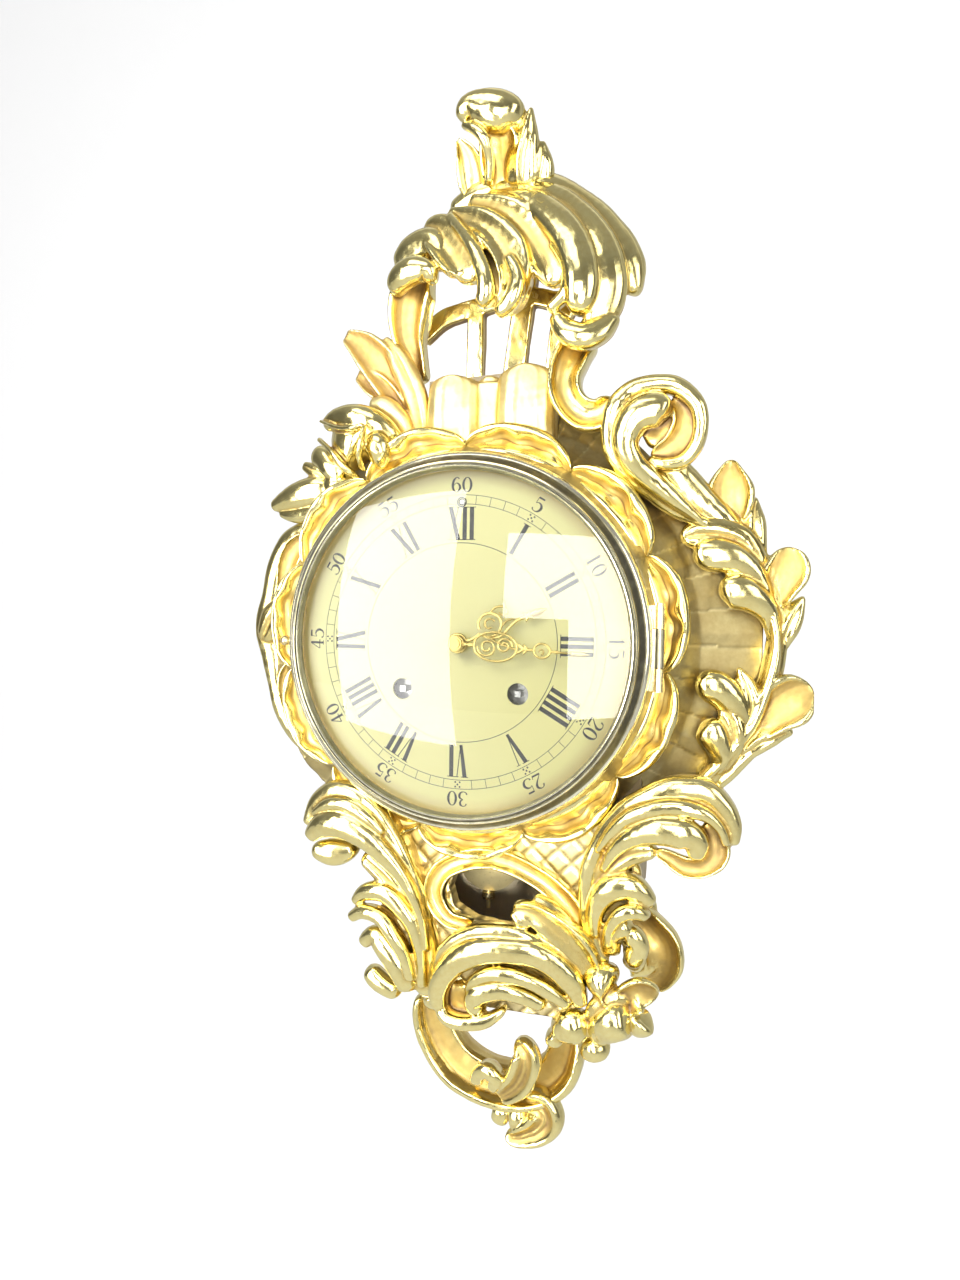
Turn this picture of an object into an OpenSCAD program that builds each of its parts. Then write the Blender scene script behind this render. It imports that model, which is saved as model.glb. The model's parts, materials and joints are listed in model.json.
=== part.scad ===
// Carved and gilded wall clock with a striking movement behind its dial.
// Millimetres. The wall is the plane Y = 0, the front faces -Y and +Z is up.
// Depth means the distance from the wall, and the dial axis passes through the origin.

/* [Case] */
// Thickness of the round case wall
case_wall = 10; // [8:0.5:14]
// Room between the movement plates and the bore that holds them
bore_gap = 4; // [3.5:0.1:6]
// Thickness of the backboard
back_t = 8; // [6:0.5:12]
// Thickness of the ground panel round the dial
ground_t = 20; // [14:1:24]
// Thickness of the lower panel that holds the window
lower_panel_t = 10; // [8:1:14]
// Radius of the opening in the backboard
hatch_r = 62; // [50:1:66]
// Thickness of the rear cover over that opening
cover_t = 3; // [2:0.5:4]
// Width of the ledge that the rear cover lies on
cover_ledge = 5; // [3.5:0.5:6]
// Gap left in glued joints of the carving
glue_gap = 0.15; // [0.1:0.05:0.3]

/* [Depth stack] */
// Gap between the backboard and the pendulum bob
pendulum_gap = 6; // [4:0.5:9]
// Thickness of the pendulum bob
bob_t = 16; // [12:1:20]
// Gap between the bob and the back plate
crutch_gap = 4; // [3:0.5:6]
// Thickness of each movement plate
plate_t = 2; // [1.5:0.1:2.5]
// Room between the two movement plates
plate_gap = 36; // [36:0.5:40]
// Room between the front plate and the dial for the motion work
motion_gap = 10; // [9:0.5:12]
// Thickness of the dial plate
dial_t = 1; // [0.8:0.1:1.5]
// Height of the dial's back over the ground panel
dial_lift = 8; // [7.5:0.1:9]

/* [Dial and bezel] */
// Width of the ring that carries the dial
ring_w = 12; // [11:0.1:12]
// Outer radius of the bezel
bezel_r = 102; // [101:0.5:104]
// Width of the bezel's rim
rim_w = 10.4; // [9.8:0.1:11]
// Height of the bezel's rim over its own back
bezel_h = 16.7; // [16:0.1:20]
// Rise of the glass from edge to middle
glass_rise = 13; // [12:0.5:15]
// Thickness of the glass
glass_t = 2; // [1.6:0.1:2.4]
// Radius of the three hinge knuckles
knuckle_r = 2.3; // [2.1:0.1:2.6]
// Radius of the hinge pin
hinge_pin_r = 1.2; // [1:0.05:1.4]
// Whole height of the hinge
hinge_h = 44; // [36:1:50]
// Height of the middle knuckle
middle_knuckle_h = 20; // [14:1:24]
// Radius of the winding holes in the dial
winding_hole_r = 5.8; // [5:0.1:6.5]
// Radius of the ball on the catch knob
catch_ball_r = 3; // [2.5:0.1:3.5]

/* [Hands] */
// Gap between the tip of the minute hand and the bezel's rim
minute_tip_gap = 19.6; // [16:0.1:26]
// Length of the hour hand from the dial axis
hour_hand_l = 52; // [46:1:56]
// Thickness of each hand
hand_t = 0.8; // [0.6:0.1:1]
// Angle of the minute hand at rest, clockwise from twelve
minute_angle = 93; // [0:1:360]
// Angle of the hour hand at rest, clockwise from twelve
hour_angle = 68; // [0:1:360]
// Height of the hour hand over the dial's face
hour_hand_lift = 3; // [2.5:0.1:3.5]
// Height of the minute hand over the dial's face
minute_hand_lift = 5.5; // [5.2:0.1:5.8]

/* [Movement] */
// Distance of each winding arbor to the side of the dial axis
winding_x = 32.5; // [32:0.1:34]
// Distance of the winding arbors below the dial axis
winding_drop = 26; // [25:0.1:28]
// Radius of the two spring barrels
barrel_r = 26; // [20:0.5:28]
// Teeth of each barrel's great wheel
great_teeth = 70; // [70:1:72]
// Leaves of the pinions that the barrels drive
great_leaves = 10; // [10:1:10]
// Teeth of the centre wheel
centre_teeth = 80; // [80:1:80]
// Teeth of the third wheel
third_teeth = 82; // [82:1:82]
// Leaves of the small pinions
small_leaves = 8; // [8:1:8]
// Tooth module of the centre wheel
centre_module = 0.6; // [0.6:0.01:0.62]
// Tooth module of the third wheel
third_module = 0.5; // [0.48:0.01:0.52]
// Height of the escape arbor over the dial axis
escape_z = 28; // [27.5:0.5:29]
// Height of the anchor arbor over the dial axis
anchor_z = 48; // [47.5:0.5:50]
// Teeth of the escape wheel
escape_teeth = 41; // [36:1:42]
// Radius of the escape wheel at its tips
escape_r = 15; // [14:0.1:15.5]
// Teeth of the strike wheel
strike_teeth = 48; // [48:1:48]
// Tooth module of the strike wheel
strike_module = 0.6; // [0.58:0.01:0.6]
// Teeth of the minute wheel
minute_wheel_teeth = 36; // [36:1:36]
// Teeth of the hour wheel
hour_wheel_teeth = 40; // [40:1:40]
// Distance from the dial axis to the minute wheel's stud
motion_distance = 16.8; // [16:0.1:17.5]
// Radius of the train arbors
arbor_r = 1.2; // [1:0.05:1.4]
// Radius of the winding arbors
winding_arbor_r = 2.2; // [2:0.1:2.5]
// Running clearance of a shaft in its hole
running_gap = 0.05; // [0.03:0.01:0.08]
// Height of the movement plates' top edge over the dial axis
plate_top = 55; // [54:0.5:58]
// Radius of the pillars between the movement plates
pillar_r = 3; // [2.5:0.1:3.5]

/* [Pendulum and strike] */
// Distance from the pendulum's pivot to the middle of the bob
pendulum_l = 182; // [178:1:186]
// Radius of the pendulum bob
bob_r = 20; // [17:0.5:22]
// Radius of the pendulum rod
rod_r = 1.2; // [1:0.05:1.5]
// Radius of the rating nut
nut_r = 4; // [3:0.1:5]
// Height of the rating nut
nut_h = 4; // [3:0.5:5]
// Radius of the gong rod
gong_r = 2; // [1.5:0.1:2.5]
// Length of the gong rod
gong_l = 100; // [90:1:104]

/* [Hanger] */
// Radius of the round hole in the hanger plate
hanger_hole_r = 5; // [4:0.1:6]
// Width of the slot above that hole
hanger_slot_w = 4.4; // [3.5:0.1:5]
// Thickness of the hanger plate
hanger_t = 1.6; // [1.2:0.1:2]
// Height of the hanger hole over the dial axis
hanger_z = 116; // [112:1:120]

/* [Hidden] */
$fn = 96;

gilt = [0.86, 0.72, 0.34];
satin_gilt = [0.76, 0.6, 0.28];
brass = [0.78, 0.66, 0.36];
steel = [0.6, 0.61, 0.62];
wood = [0.55, 0.4, 0.24];

// Depths of the stack, from the wall to the glass
bob_d = back_t + pendulum_gap + bob_t / 2;
back_plate_d = back_t + pendulum_gap + bob_t + crutch_gap;
train_d = back_plate_d + plate_t;
front_plate_d = train_d + plate_gap;
motion_d = front_plate_d + plate_t;
dial_d = motion_d + motion_gap;
dial_face_d = dial_d + dial_t;
ground_d = dial_d - dial_lift;
ground_back_d = ground_d - ground_t;

// Movement plates round the great wheels and the pillars beside them
great_distance = norm([winding_x, winding_drop]);
great_module = 2 * great_distance / (great_teeth + great_leaves);
great_tip_r = great_teeth * great_module / 2 + 0.7 * great_module;
pillar_gap = 0.6;
pillar_angle = -41.5;
pillar_reach = great_tip_r + pillar_gap + pillar_r;
pillar_x = winding_x + pillar_reach * cos(pillar_angle);
pillar_z = -winding_drop + pillar_reach * sin(pillar_angle);
plate_half_w = pillar_x + 5;
plate_bottom = -pillar_z + 4;
plate_edge = 0.66;
plate_r = norm([pillar_x, pillar_z]) + pillar_r + plate_edge;
bore_r = plate_r + bore_gap;
case_r = bore_r + case_wall;

// The dial ring and the bezel door on it
ring_t = 2.5;
ring_bore_r = bezel_r - ring_w;
sight_r = bezel_r - rim_w;
dial_r = bezel_r - ring_w + 3;
minute_hand_l = sight_r - minute_tip_gap;
ring_gap = 0.3;
upstand_r = dial_r + 0.4;
upstand_t = 1.2;
bezel_d = ground_d + ring_t + ring_gap;
rebate_r = bezel_r - 6.6;
rebate_gap = 0.3;
lip_d = bezel_d + bezel_h - 5.4;
glass_edge_d = lip_d - 1.1;
bead_t = 1.5;
hinge_x = bezel_r + 3.2;
hinge_d = bezel_d + 1.2;
knuckle_gap = 0.3;
leaf_t = 1.2;

// Gong rod on its block, and the floor of the chamber below it
gong_x = 60;
gong_top = -62;
gong_block_h = 8;
gong_floor = gong_top - gong_l - gong_block_h - 4;

// Outline of the case behind the carving, as x and z
top_block = [[-30, 70], [-30, 146], [43, 150], [43, 70]];
lower_block = [
    [-92, -40], [-60, -110], [-48, -130], [-48, gong_floor - 2], [-26, gong_floor - 32],
    [60, gong_floor - 32], [72, gong_floor - 6], [92, -142], [95, -60], [96, -20]
];
chamber = [
    [-40, -60], [-40, gong_floor], [-22, gong_floor - 24], [54, gong_floor - 24],
    [64, gong_floor], [82, -138], [82, -60]
];
ground_outline = [
    [-31, 130], [-31, 96], [-60, 116], [-80, 102], [-98, 84], [-106, 62], [-124, 46],
    [-137, 24], [-142, 0], [-138, -22], [-131, -52], [-112, -80], [-92, -96], [-70, -112],
    [-48, -130], [-48, gong_floor - 2], [-26, gong_floor - 32], [60, gong_floor - 32],
    [72, gong_floor - 6], [92, -142], [92, -100], [112, -82], [132, -66], [148, -40], [155, -10], [155, 20], [146, 46], [126, 68],
    [112, 84], [84, 112], [76, 120], [46, 132], [43, 140]
];
window_outline = [
    [-10, -140], [-7, -131], [2, -126], [20, -124], [36, -128], [50, -137], [58, -145],
    [44, -152], [22, -158], [4, -156], [-7, -150]
];
lower_panel_top = -92;

// Slope of the ground panel, as radius and drop below its front face
ground_slope = [[bezel_r - 0.5, 0], [bezel_r + 22, 26], [bezel_r + 56, 40]];
ground_slope_t = 13;

// Profiles of the carving: across the width, from the back to the front
LOBE = [[0, 0], [1, 0.4], [0.62, 0.88], [0, 1], [-0.62, 0.88], [-1, 0.4]];
LEAF = [[0, 0], [1, 0.5], [0.6, 1], [0, 0.78], [-0.6, 1], [-1, 0.5]];
GUTTER = [
    [0, 0], [1, 0.4], [0.9, 1], [0.6, 0.84], [0.25, 0.62],
    [-0.25, 0.62], [-0.6, 0.84], [-0.9, 1], [-1, 0.4]
];
BAR = [[-1, 0], [1, 0], [1, 1], [-1, 1]];
PETAL = [
    [-1, 0], [1, 0], [1, 0.9], [0.78, 1], [0.4, 0.68], [-0.4, 0.58], [-1, 0.8]
];

// Carving routes, each a profile and rows of x, z, height over the ground face,
// half width and thickness
crest_forms = [
    [LOBE, [[-10, 240, -24, 7, 16], [10, 244, -20, 8, 20], [30, 240, -22, 7, 16]]],
    [LEAF, [[17, 240, -18, 12, 26], [16, 256, -12, 13, 24], [13, 270, -4, 13, 16],
            [6, 281, 2, 12, 16], [-4, 284, 2, 8, 13], [-10, 279, -2, 5, 9]]],
    [LOBE, [[-6, 240, -30, 5, 14], [-8, 258, -26, 7, 14], [-7, 270, -24, 6, 12],
            [-4, 277, -22, 3, 8]]],
    [LEAF, [[23, 240, -18, 6, 12], [26, 258, -14, 6, 11], [27, 270, -14, 4, 8],
            [28, 281, -16, 1.5, 4]]],
    [LEAF, [[28, 238, -24, 5, 12], [32, 252, -22, 5, 10], [33, 263, -22, 3, 7],
            [31, 272, -24, 1.2, 4]]]
];
hood_forms = [
    [LOBE, [[-36, 204, -22, 8, 24], [-20, 220, -18, 10, 28], [6, 230, -16, 12, 30],
            [34, 224, -14, 14, 32], [56, 205, -10, 14, 34], [64, 184, -8, 10, 28]]],
    [LOBE, [[-8, 243, -22, 5, 14], [18, 250, -18, 7, 16], [44, 243, -14, 9, 18],
            [66, 225, -10, 10, 20], [79, 203, -6, 9, 20], [83, 183, -4, 5, 12]]],
    [LOBE, [[-2, 240, -16, 5, 14], [24, 240, -8, 9, 20], [45, 227, 0, 11, 24],
            [57, 208, 8, 12, 26], [60, 188, 12, 12, 26], [56, 171, 10, 9, 20]]],
    [LOBE, [[40, 180, 2, 5, 16], [50, 171, 8, 9, 22], [66, 168, 6, 11, 24],
            [83, 180, 0, 7, 18]]],
    [LOBE, [[-4, 236, -14, 4, 12], [18, 231, -6, 6, 14], [34, 218, 2, 7, 16],
            [42, 201, 6, 7, 16], [44, 184, 8, 5, 12]]],
    [LOBE, [[-8, 232, -12, 4, 12], [10, 226, -4, 6, 14], [24, 213, 4, 7, 16],
            [32, 198, 8, 6, 14], [36, 187, 8, 3, 8]]],
    [LOBE, [[-12, 229, -12, 4, 12], [4, 220, 0, 7, 16], [14, 205, 8, 8, 18],
            [15, 190, 12, 8, 18], [8, 180, 12, 6, 14], [-2, 181, 10, 3, 8]]],
    [LOBE, [[-14, 226, -12, 4, 10], [-4, 214, 0, 6, 14], [1, 200, 6, 5, 12],
            [1, 186, 8, 4, 10]]],
    [LOBE, [[-12, 227, -14, 5, 12], [-24, 221, -4, 9, 16], [-26, 209, 4, 9, 16],
            [-15, 201, 6, 4, 10]]],
    [GUTTER, [[-22, 224, -18, 6, 16], [-38, 215, -10, 8, 18], [-45, 200, -6, 9, 20],
              [-43, 184, -8, 9, 20], [-38, 168, -14, 7, 18], [-35, 150, -20, 5, 16],
              [-33, 128, -22, 4, 14]]]
];
trellis_forms = [
    [BAR, [[-42, 176, -36, 4, 8], [-28, 186, -36, 4, 8], [-10, 190.5, -36, 4, 8],
           [14, 195, -36, 4, 8], [32, 193, -35, 4, 8], [50, 184, -33, 4, 8]]],
    [BAR, [[-8.6, 142, -35, 4, 8], [-8.6, 188, -36, 4, 8]]],
    [BAR, [[14, 144, -35, 5.5, 8], [23, 222, -36, 5.5, 8]]],
    [BAR, [[36, 144, -35, 3, 8], [42, 196, -35, 3, 8]]]
];
upper_scroll_forms = [
    [GUTTER, [[62, 170, -10, 8, 18], [50, 155, -6, 8, 20], [46, 141, -4, 7, 22],
              [50, 129, -4, 7, 24], [60, 124.5, -4, 7.5, 26], [72, 129, -6, 6, 26]]]
];
volute_forms = [
    [GUTTER, [[128, 62, -23, 5, 13], [111, 73, -18, 8, 18], [94, 87, -12, 9, 22],
              [82, 102, -4, 9, 26], [80, 116, 0, 8.5, 26], [88, 127, 2, 8, 24],
              [101, 129, 4, 7, 22], [112, 122, 4, 7, 20], [115, 110, 2, 7, 20],
              [107, 102, -2, 6, 16], [99, 103, -4, 4, 12]]],
    [LOBE, [[100, 110, -14, 11, 22], [110, 94, -18, 12, 16], [119, 82, -22, 11, 14],
            [125, 73, -25, 6, 12]]]
];
spray_forms = [
    [LOBE, [[113, 76, -26, 6, 14], [132, 64, -28, 8, 16], [147, 46, -30, 8, 18],
            [155, 25, -33, 7.5, 18], [157, 4, -34, 7, 18], [154, -16, -34, 7, 18],
            [149, -34, -33, 8, 18], [142, -48, -32, 8, 18], [132, -62, -30, 8, 18],
            [118, -76, -28, 7, 16]]],
    [LEAF, [[131, 66, -28, 5, 12], [134, 78, -26, 10, 12], [137, 90, -27, 9, 10],
            [136, 99, -30, 2, 5]]],
    [LEAF, [[145, 52, -30, 4, 10], [148, 66, -30, 6, 9], [148, 79, -33, 1.5, 4]]],
    [LEAF, [[156, 26, -36, 5, 10], [162, 38, -32, 9, 12], [168, 50, -33, 8, 9],
            [170, 57, -36, 3, 5]]],
    [LEAF, [[158, 0, -38, 4, 9], [164, 12, -36, 7, 9], [171, 27, -38, 2, 5]]],
    [LEAF, [[150, -38, -34, 6, 12], [162, -28, -30, 12, 13], [174, -22, -30, 12, 11],
            [181, -22, -33, 6, 6]]],
    [LEAF, [[143, -56, -36, 4, 9], [157, -49, -34, 7, 9], [169, -44, -37, 2, 5]]],
    [LEAF, [[152, 36, -30, 5, 12], [143, 49, -26, 8, 14], [129, 54, -23, 8, 13],
            [114, 51, -22, 4, 10]]],
    [LEAF, [[157, 16, -32, 5, 12], [150, 29, -27, 9, 14], [139, 33, -25, 9, 13],
            [129, 30, -25, 5, 10]]],
    [LEAF, [[149, -40, -32, 6, 12], [144, -24, -27, 9, 14], [133, -16, -24, 9, 13],
            [121, -15, -21, 5, 10]]],
    [LEAF, [[147, -34, -33, 4, 9], [142, -20, -31, 5, 8], [138, -10, -30, 1.5, 4]]],
    [LEAF, [[138, -62, -32, 6, 12], [130, -50, -26, 8, 13], [124, -40, -24, 6, 10],
            [125, -33, -26, 2, 5]]],
    [LEAF, [[122, -74, -29, 5, 11], [122, -62, -28, 5, 10], [118, -54, -26, 1.5, 5]]]
];
left_leaf_forms = [
    [LEAF, [[-35, 114, -22, 5, 14], [-43, 136, -18, 9, 14], [-54, 156, -16, 10, 13],
            [-67, 171, -15, 9, 11], [-81, 177, -18, 5, 7]]],
    [LEAF, [[-34, 120, -20, 5, 14], [-38, 140, -17, 7, 12], [-47, 158, -17, 7, 11],
            [-57, 172, -19, 3, 6]]],
    [LEAF, [[-38, 118, -20, 5, 12], [-50, 137, -17, 7, 12], [-62, 147, -17, 7, 10],
            [-75, 153, -20, 3, 5]]],
    [LEAF, [[-44, 112, -20, 5, 12], [-53, 127, -18, 6, 12], [-66, 136, -20, 3, 6]]]
];
bud_forms = [
    [LOBE, [[-88, 112, -18, 12, 20], [-76, 115, -12, 15, 26], [-64, 109, -15, 12, 22]]],
    [LOBE, [[-99, 126, -16, 4, 9], [-83, 131, -12, 7, 13], [-67, 126, -10, 9, 14],
            [-57, 113, -10, 8, 16], [-60, 101, -14, 4, 12]]],
    [LOBE, [[-99, 119, -16, 4, 9], [-86, 119, -10, 9, 15], [-74, 110, -8, 10, 18],
            [-66, 97, -12, 6, 14]]],
    [LOBE, [[-82, 100, -18, 5, 12], [-94, 103, -17, 5, 10], [-104, 108, -20, 3.5, 8]]],
    [LOBE, [[-88, 84, -20, 4, 12], [-89, 93, -18, 5, 12], [-81, 104, -18, 5, 12]]]
];
left_lower_forms = [
    [LEAF, [[-100, 82, -28, 4, 10], [-112, 86, -26, 6, 11], [-125, 87, -28, 4, 7]]],
    [LEAF, [[-101, 75, -27, 5, 11], [-113, 78, -24, 6, 12], [-128, 79, -27, 4, 7]]],
    [LEAF, [[-104, 67, -26, 5, 11], [-114, 69, -25, 6, 12], [-127, 71, -28, 4, 7]]]
];
left_rim_forms = [
    [LOBE, [[-106, 60, -28, 6, 18], [-124, 44, -30, 6, 18], [-136, 24, -30, 5, 18],
            [-141, 4, -30, 5, 18], [-141, -8, -28, 7, 18], [-135, -20, -29, 6, 18],
            [-133, -38, -30, 5, 18], [-129, -54, -30, 5, 18], [-119, -67, -30, 5, 18],
            [-110, -76, -28, 5, 16]]],
    [LEAF, [[-116, -76, -26, 5, 14], [-105, -82, -22, 8, 16], [-92, -87, -20, 7, 16]]],
    [LOBE, [[-142, -2, -30, 5, 13], [-133, -8, -26, 7, 14], [-124, -14, -24, 6, 11]]]
];
lower_left_forms = [
    [GUTTER, [[-23, -203, -4, 7, 20], [-24, -182, -2, 9, 22], [-28, -160, 2, 10, 24],
              [-36, -141, 6, 11, 26], [-47, -125, 10, 12, 28], [-61, -112, 12, 11, 28],
              [-77, -106, 12, 10, 26], [-90, -109, 10, 8, 22], [-94, -118, 6, 4, 16]]],
    [LOBE, [[-24, -160, -6, 5, 14], [-30, -138, -4, 7, 18], [-39, -117, -2, 7, 20],
            [-52, -101, -2, 8, 22], [-67, -94, -4, 8, 22], [-83, -97, -6, 7, 18],
            [-95, -106, -10, 4, 12]]],
    [LOBE, [[-94, -112, -4, 5, 12], [-90, -123, -4, 7, 13], [-78, -128, -4, 7, 13],
            [-66, -123, -6, 4, 12]]],
    [LEAF, [[-24, -192, -12, 6, 14], [-31, -173, -4, 8, 18], [-43, -160, 0, 9, 18],
            [-56, -156, 0, 8, 14], [-68, -161, -4, 4, 9]]],
    [LEAF, [[-30, -166, -10, 5, 12], [-42, -151, -6, 7, 14], [-55, -146, -6, 7, 12],
            [-65, -151, -10, 4, 9]]],
    [LEAF, [[-26, -200, -6, 6, 18], [-37, -189, -8, 8, 20], [-50, -183, -10, 8, 18],
            [-63, -180, -13, 5, 9]]],
    [LOBE, [[-32, -203, -18, 6, 14], [-46, -203, -16, 6, 14], [-58, -196, -16, 6, 13],
            [-64, -184, -18, 4, 9]]]
];
lower_right_forms = [
    [GUTTER, [[84, -176, -8, 6, 18], [76, -156, -4, 9, 22], [75, -136, 0, 10, 24],
              [80, -116, 6, 11, 24], [92, -100, 10, 11, 26], [108, -91, 12, 10, 26],
              [124, -90, 12, 10, 24], [137, -97, 8, 8, 20]]],
    [LOBE, [[139, -98, 4, 5, 14], [134, -110, 2, 6, 14], [122, -113, 2, 5, 13],
            [110, -106, 0, 4, 14]]],
    [LOBE, [[78, -140, -8, 5, 14], [80, -114, -6, 7, 18], [91, -94, -4, 8, 20],
            [107, -82, -4, 8, 22], [124, -79, -5, 8, 22], [138, -86, -8, 7, 18],
            [145, -98, -12, 5, 12]]],
    [LEAF, [[77, -146, -8, 6, 14], [84, -132, -2, 9, 18], [95, -130, -2, 8, 16],
            [105, -138, -6, 4, 9]]],
    [LEAF, [[79, -168, -10, 6, 15], [85, -154, -4, 7, 18], [95, -148, -6, 6, 16],
            [104, -150, -10, 3, 8]]],
    [LOBE, [[86, -180, -14, 4, 14], [84, -167, -8, 5, 16], [89, -157, -6, 6, 16],
            [98, -158, -10, 5, 14], [99, -168, -14, 3, 8]]]
];
window_frame_forms = [
    [GUTTER, [[5, -158, -4, 4, 10], [-9, -155, -2, 5, 13], [-17, -142, -1, 6, 14],
              [-12, -128, -1, 6, 14], [4, -120, -1, 6, 14], [22, -119, -1, 6, 14],
              [42, -126, -1, 6, 14], [58, -138, -2, 6, 14], [68, -152, -5, 4, 10]]]
];
acanthus_forms = [
    [LOBE, [[-15, -180, -2, 4, 12], [-4, -166, 4, 7, 16], [12, -160, 8, 7, 18],
            [30, -160, 8, 7, 18], [50, -169, 4, 7, 16], [67, -184, -4, 5, 14]]],
    [LOBE, [[-13, -194, 0, 6, 16], [-4, -179, 8, 9, 22], [10, -172, 12, 10, 24],
            [27, -170, 14, 10, 24], [45, -178, 10, 10, 22], [63, -193, 0, 7, 18]]],
    [LOBE, [[2, -192, 0, 5, 16], [14, -186, 8, 7, 20], [30, -186, 8, 7, 20],
            [46, -192, 4, 6, 18], [60, -200, -4, 5, 14]]],
    [LOBE, [[-13, -190, 0, 6, 16], [-12, -202, 2, 7, 18], [-1, -211, 4, 7, 18],
            [12, -212, 4, 6, 16], [24, -203, 0, 4, 14]]],
    [LOBE, [[4, -200, 2, 5, 16], [18, -195, 4, 5, 18], [34, -193, 2, 4, 16]]],
    [LEAF, [[62, -178, 4, 7, 16], [52, -163, 10, 8, 18], [40, -152, 12, 7, 14],
            [30, -148, 10, 4, 9]]],
    [LEAF, [[66, -170, 0, 6, 14], [58, -156, 6, 7, 14], [48, -144, 6, 6, 12],
            [41, -138, 4, 2.5, 7]]]
];
flower_forms = [
    [LOBE, [[66, -184, -4, 6, 16], [74, -185, 0, 9, 22], [82, -186, -4, 6, 16]]],
    [LOBE, [[70, -206, -6, 6, 16], [79, -205, 0, 9, 20], [88, -201, -6, 6, 14]]],
    [LEAF, [[76, -201, -10, 6, 14], [60, -206, -8, 9, 14], [49, -207, -12, 5, 10]]],
    [LEAF, [[82, -196, -8, 7, 14], [94, -196, -8, 8, 13], [102, -202, -12, 5, 9]]],
    [LEAF, [[78, -204, -10, 6, 14], [76, -214, -12, 8, 12], [72, -221, -15, 4, 8]]],
    [LEAF, [[78, -192, -12, 6, 16], [94, -187, -12, 5, 11], [106, -187, -15, 2, 5]]]
];
side_roll_forms = [
    [LOBE, [[90, -140, -42, 6, 18], [101, -154, -38, 8, 24], [109, -168, -36, 9, 28],
            [107, -184, -40, 8, 24], [96, -193, -44, 5, 18]]],
    [LOBE, [[80, -156, -42, 6, 20], [90, -170, -38, 9, 26], [96, -184, -42, 7, 22]]]
];
loop_forms = [
    [GUTTER, [[-22, -200, -28, 7, 22], [-26, -214, -26, 7, 24], [-25, -230, -26, 8, 26],
              [-16, -245, -26, 9, 28], [0, -256, -26, 9, 28], [18, -260, -26, 9, 28],
              [36, -257, -26, 10, 28], [49, -247, -26, 10, 26], [54, -232, -28, 8, 22],
              [52, -218, -29, 6, 18], [50, -203, -29, 6, 18]]],
    [LOBE, [[2, -256, -18, 4, 16], [10, -260, -16, 5, 16], [17, -253, -16, 4, 14],
            [12, -246, -18, 3, 14]]],
    [LEAF, [[30, -262, -14, 8, 18], [30, -248, -8, 9, 20], [29, -237, -8, 7, 16],
            [22, -234, -12, 4, 9]]],
    [LOBE, [[-29, -201, -17, 4, 16], [-26, -206, -13, 6, 18], [-24, -213, -17, 4, 16]]]
];
pendant_forms = [
    [LEAF, [[30, -265, -26, 9, 18], [31, -275, -24, 10, 20], [26, -285, -24, 10, 18],
            [15, -288, -26, 6, 13], [11, -282, -28, 3, 8]]],
    [LEAF, [[38, -268, -30, 6, 14], [43, -274, -30, 4, 10], [45, -281, -32, 1.2, 4]]],
    [LOBE, [[17, -266, -32, 4, 12], [16, -273, -32, 4.5, 12], [16, -284, -32, 3.5, 10]]]
];
flutes = [[-20.5, 9.3, 146], [-6, 6.5, 147], [16.5, 10, 151], [34, 8.8, 152]];
flute_back = [6.5, 36.4, 144];
petal_count = 11;
petal_start = -6.5;

// Steps between two rows of a gutter's route and of any other
band_steps = 3;
leaf_steps = 2;

// Point on a smooth curve through four rows, at t from the second row to the third
function between(a, b, c, d, t) =
    0.5 * (2 * b + (c - a) * t + (2 * a - 5 * b + 4 * c - d) * t * t
    + (3 * b - a - 3 * c + d) * t * t * t);

// Rows of a route, filled in smoothly
function smooth(rows, steps) = [
    for (i = [0:len(rows) - 2], k = [0:steps - 1])
        between(rows[max(i - 1, 0)], rows[i], rows[i + 1],
                rows[min(i + 2, len(rows) - 1)], k / steps),
    rows[len(rows) - 1]
];

// Unit vector across a route at row i, in the plane of the wall
function across(rows, i) =
    let (a = rows[max(i - 1, 0)], b = rows[min(i + 1, len(rows) - 1)],
         dx = b[0] - a[0], dz = b[1] - a[1], l = norm([dx, dz]))
    [-dz / l, dx / l];

// The carving is drawn round this bezel. It keeps its distance from the bezel when that
// changes, less and less from the inner radius to the outer one, where it stays.
junction_r = 108;
petal_r = junction_r + 14;
drawn_bezel_r = junction_r - 6;
follow_inner_r = petal_r - 2;
follow_outer_r = petal_r + 100;
function followed(p) =
    let (r = norm([p[0], p[1]]),
         share = max(0, min(1, (follow_outer_r - r) / (follow_outer_r - follow_inner_r))),
         k = r > 0 ? 1 + share * (bezel_r - drawn_bezel_r) / r : 1)
    concat([p[0] * k, p[1] * k], [for (i = [2:1:len(p) - 1]) p[i]]);

// Closed solid with the given profile along a route
module swept(profile, drawn_rows, steps = leaf_steps) {
    rows = [for (p = drawn_rows) followed(p)];
    path = len(rows) > 2 ? smooth(rows, steps) : rows;
    n = len(profile);
    points = [
        for (i = [0:len(path) - 1], p = profile)
            let (r = path[i], s = across(path, i), front = ground_d + r[2])
            [r[0] + s[0] * p[0] * r[3], -(front - r[4] * (1 - p[1])),
             r[1] + s[1] * p[0] * r[3]]
    ];
    sides = [
        for (i = [0:len(path) - 2], k = [0:n - 1], half = [0, 1])
            let (a = i * n + k, b = i * n + (k + 1) % n)
            half == 0 ? [a, b + n, b] : [a, a + n, b + n]
    ];
    start = [for (k = [0:n - 1]) k];
    end = [for (k = [n - 1:-1:0]) (len(path) - 1) * n + k];
    polyhedron(points = points, faces = concat([start, end], sides), convexity = 6);
}

// All the forms of one carving
module forms(list) {
    for (form = list) swept(form[0], form[1], form[0] == GUTTER ? band_steps : leaf_steps);
}

// Joins overlapping carved forms into one closed shell
module carved() {
    resize([0, 0, 0]) union() children();
}

// Lays a shape drawn in x and z at a depth, growing towards the front
module at_depth(d) {
    translate([0, -d, 0]) rotate([90, 0, 0]) children();
}

// Cylinder along the depth axis at x and z
module rod_at(x, z, d, r, h) {
    translate([x, 0, z]) at_depth(d) cylinder(r = r, h = h);
}

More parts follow.
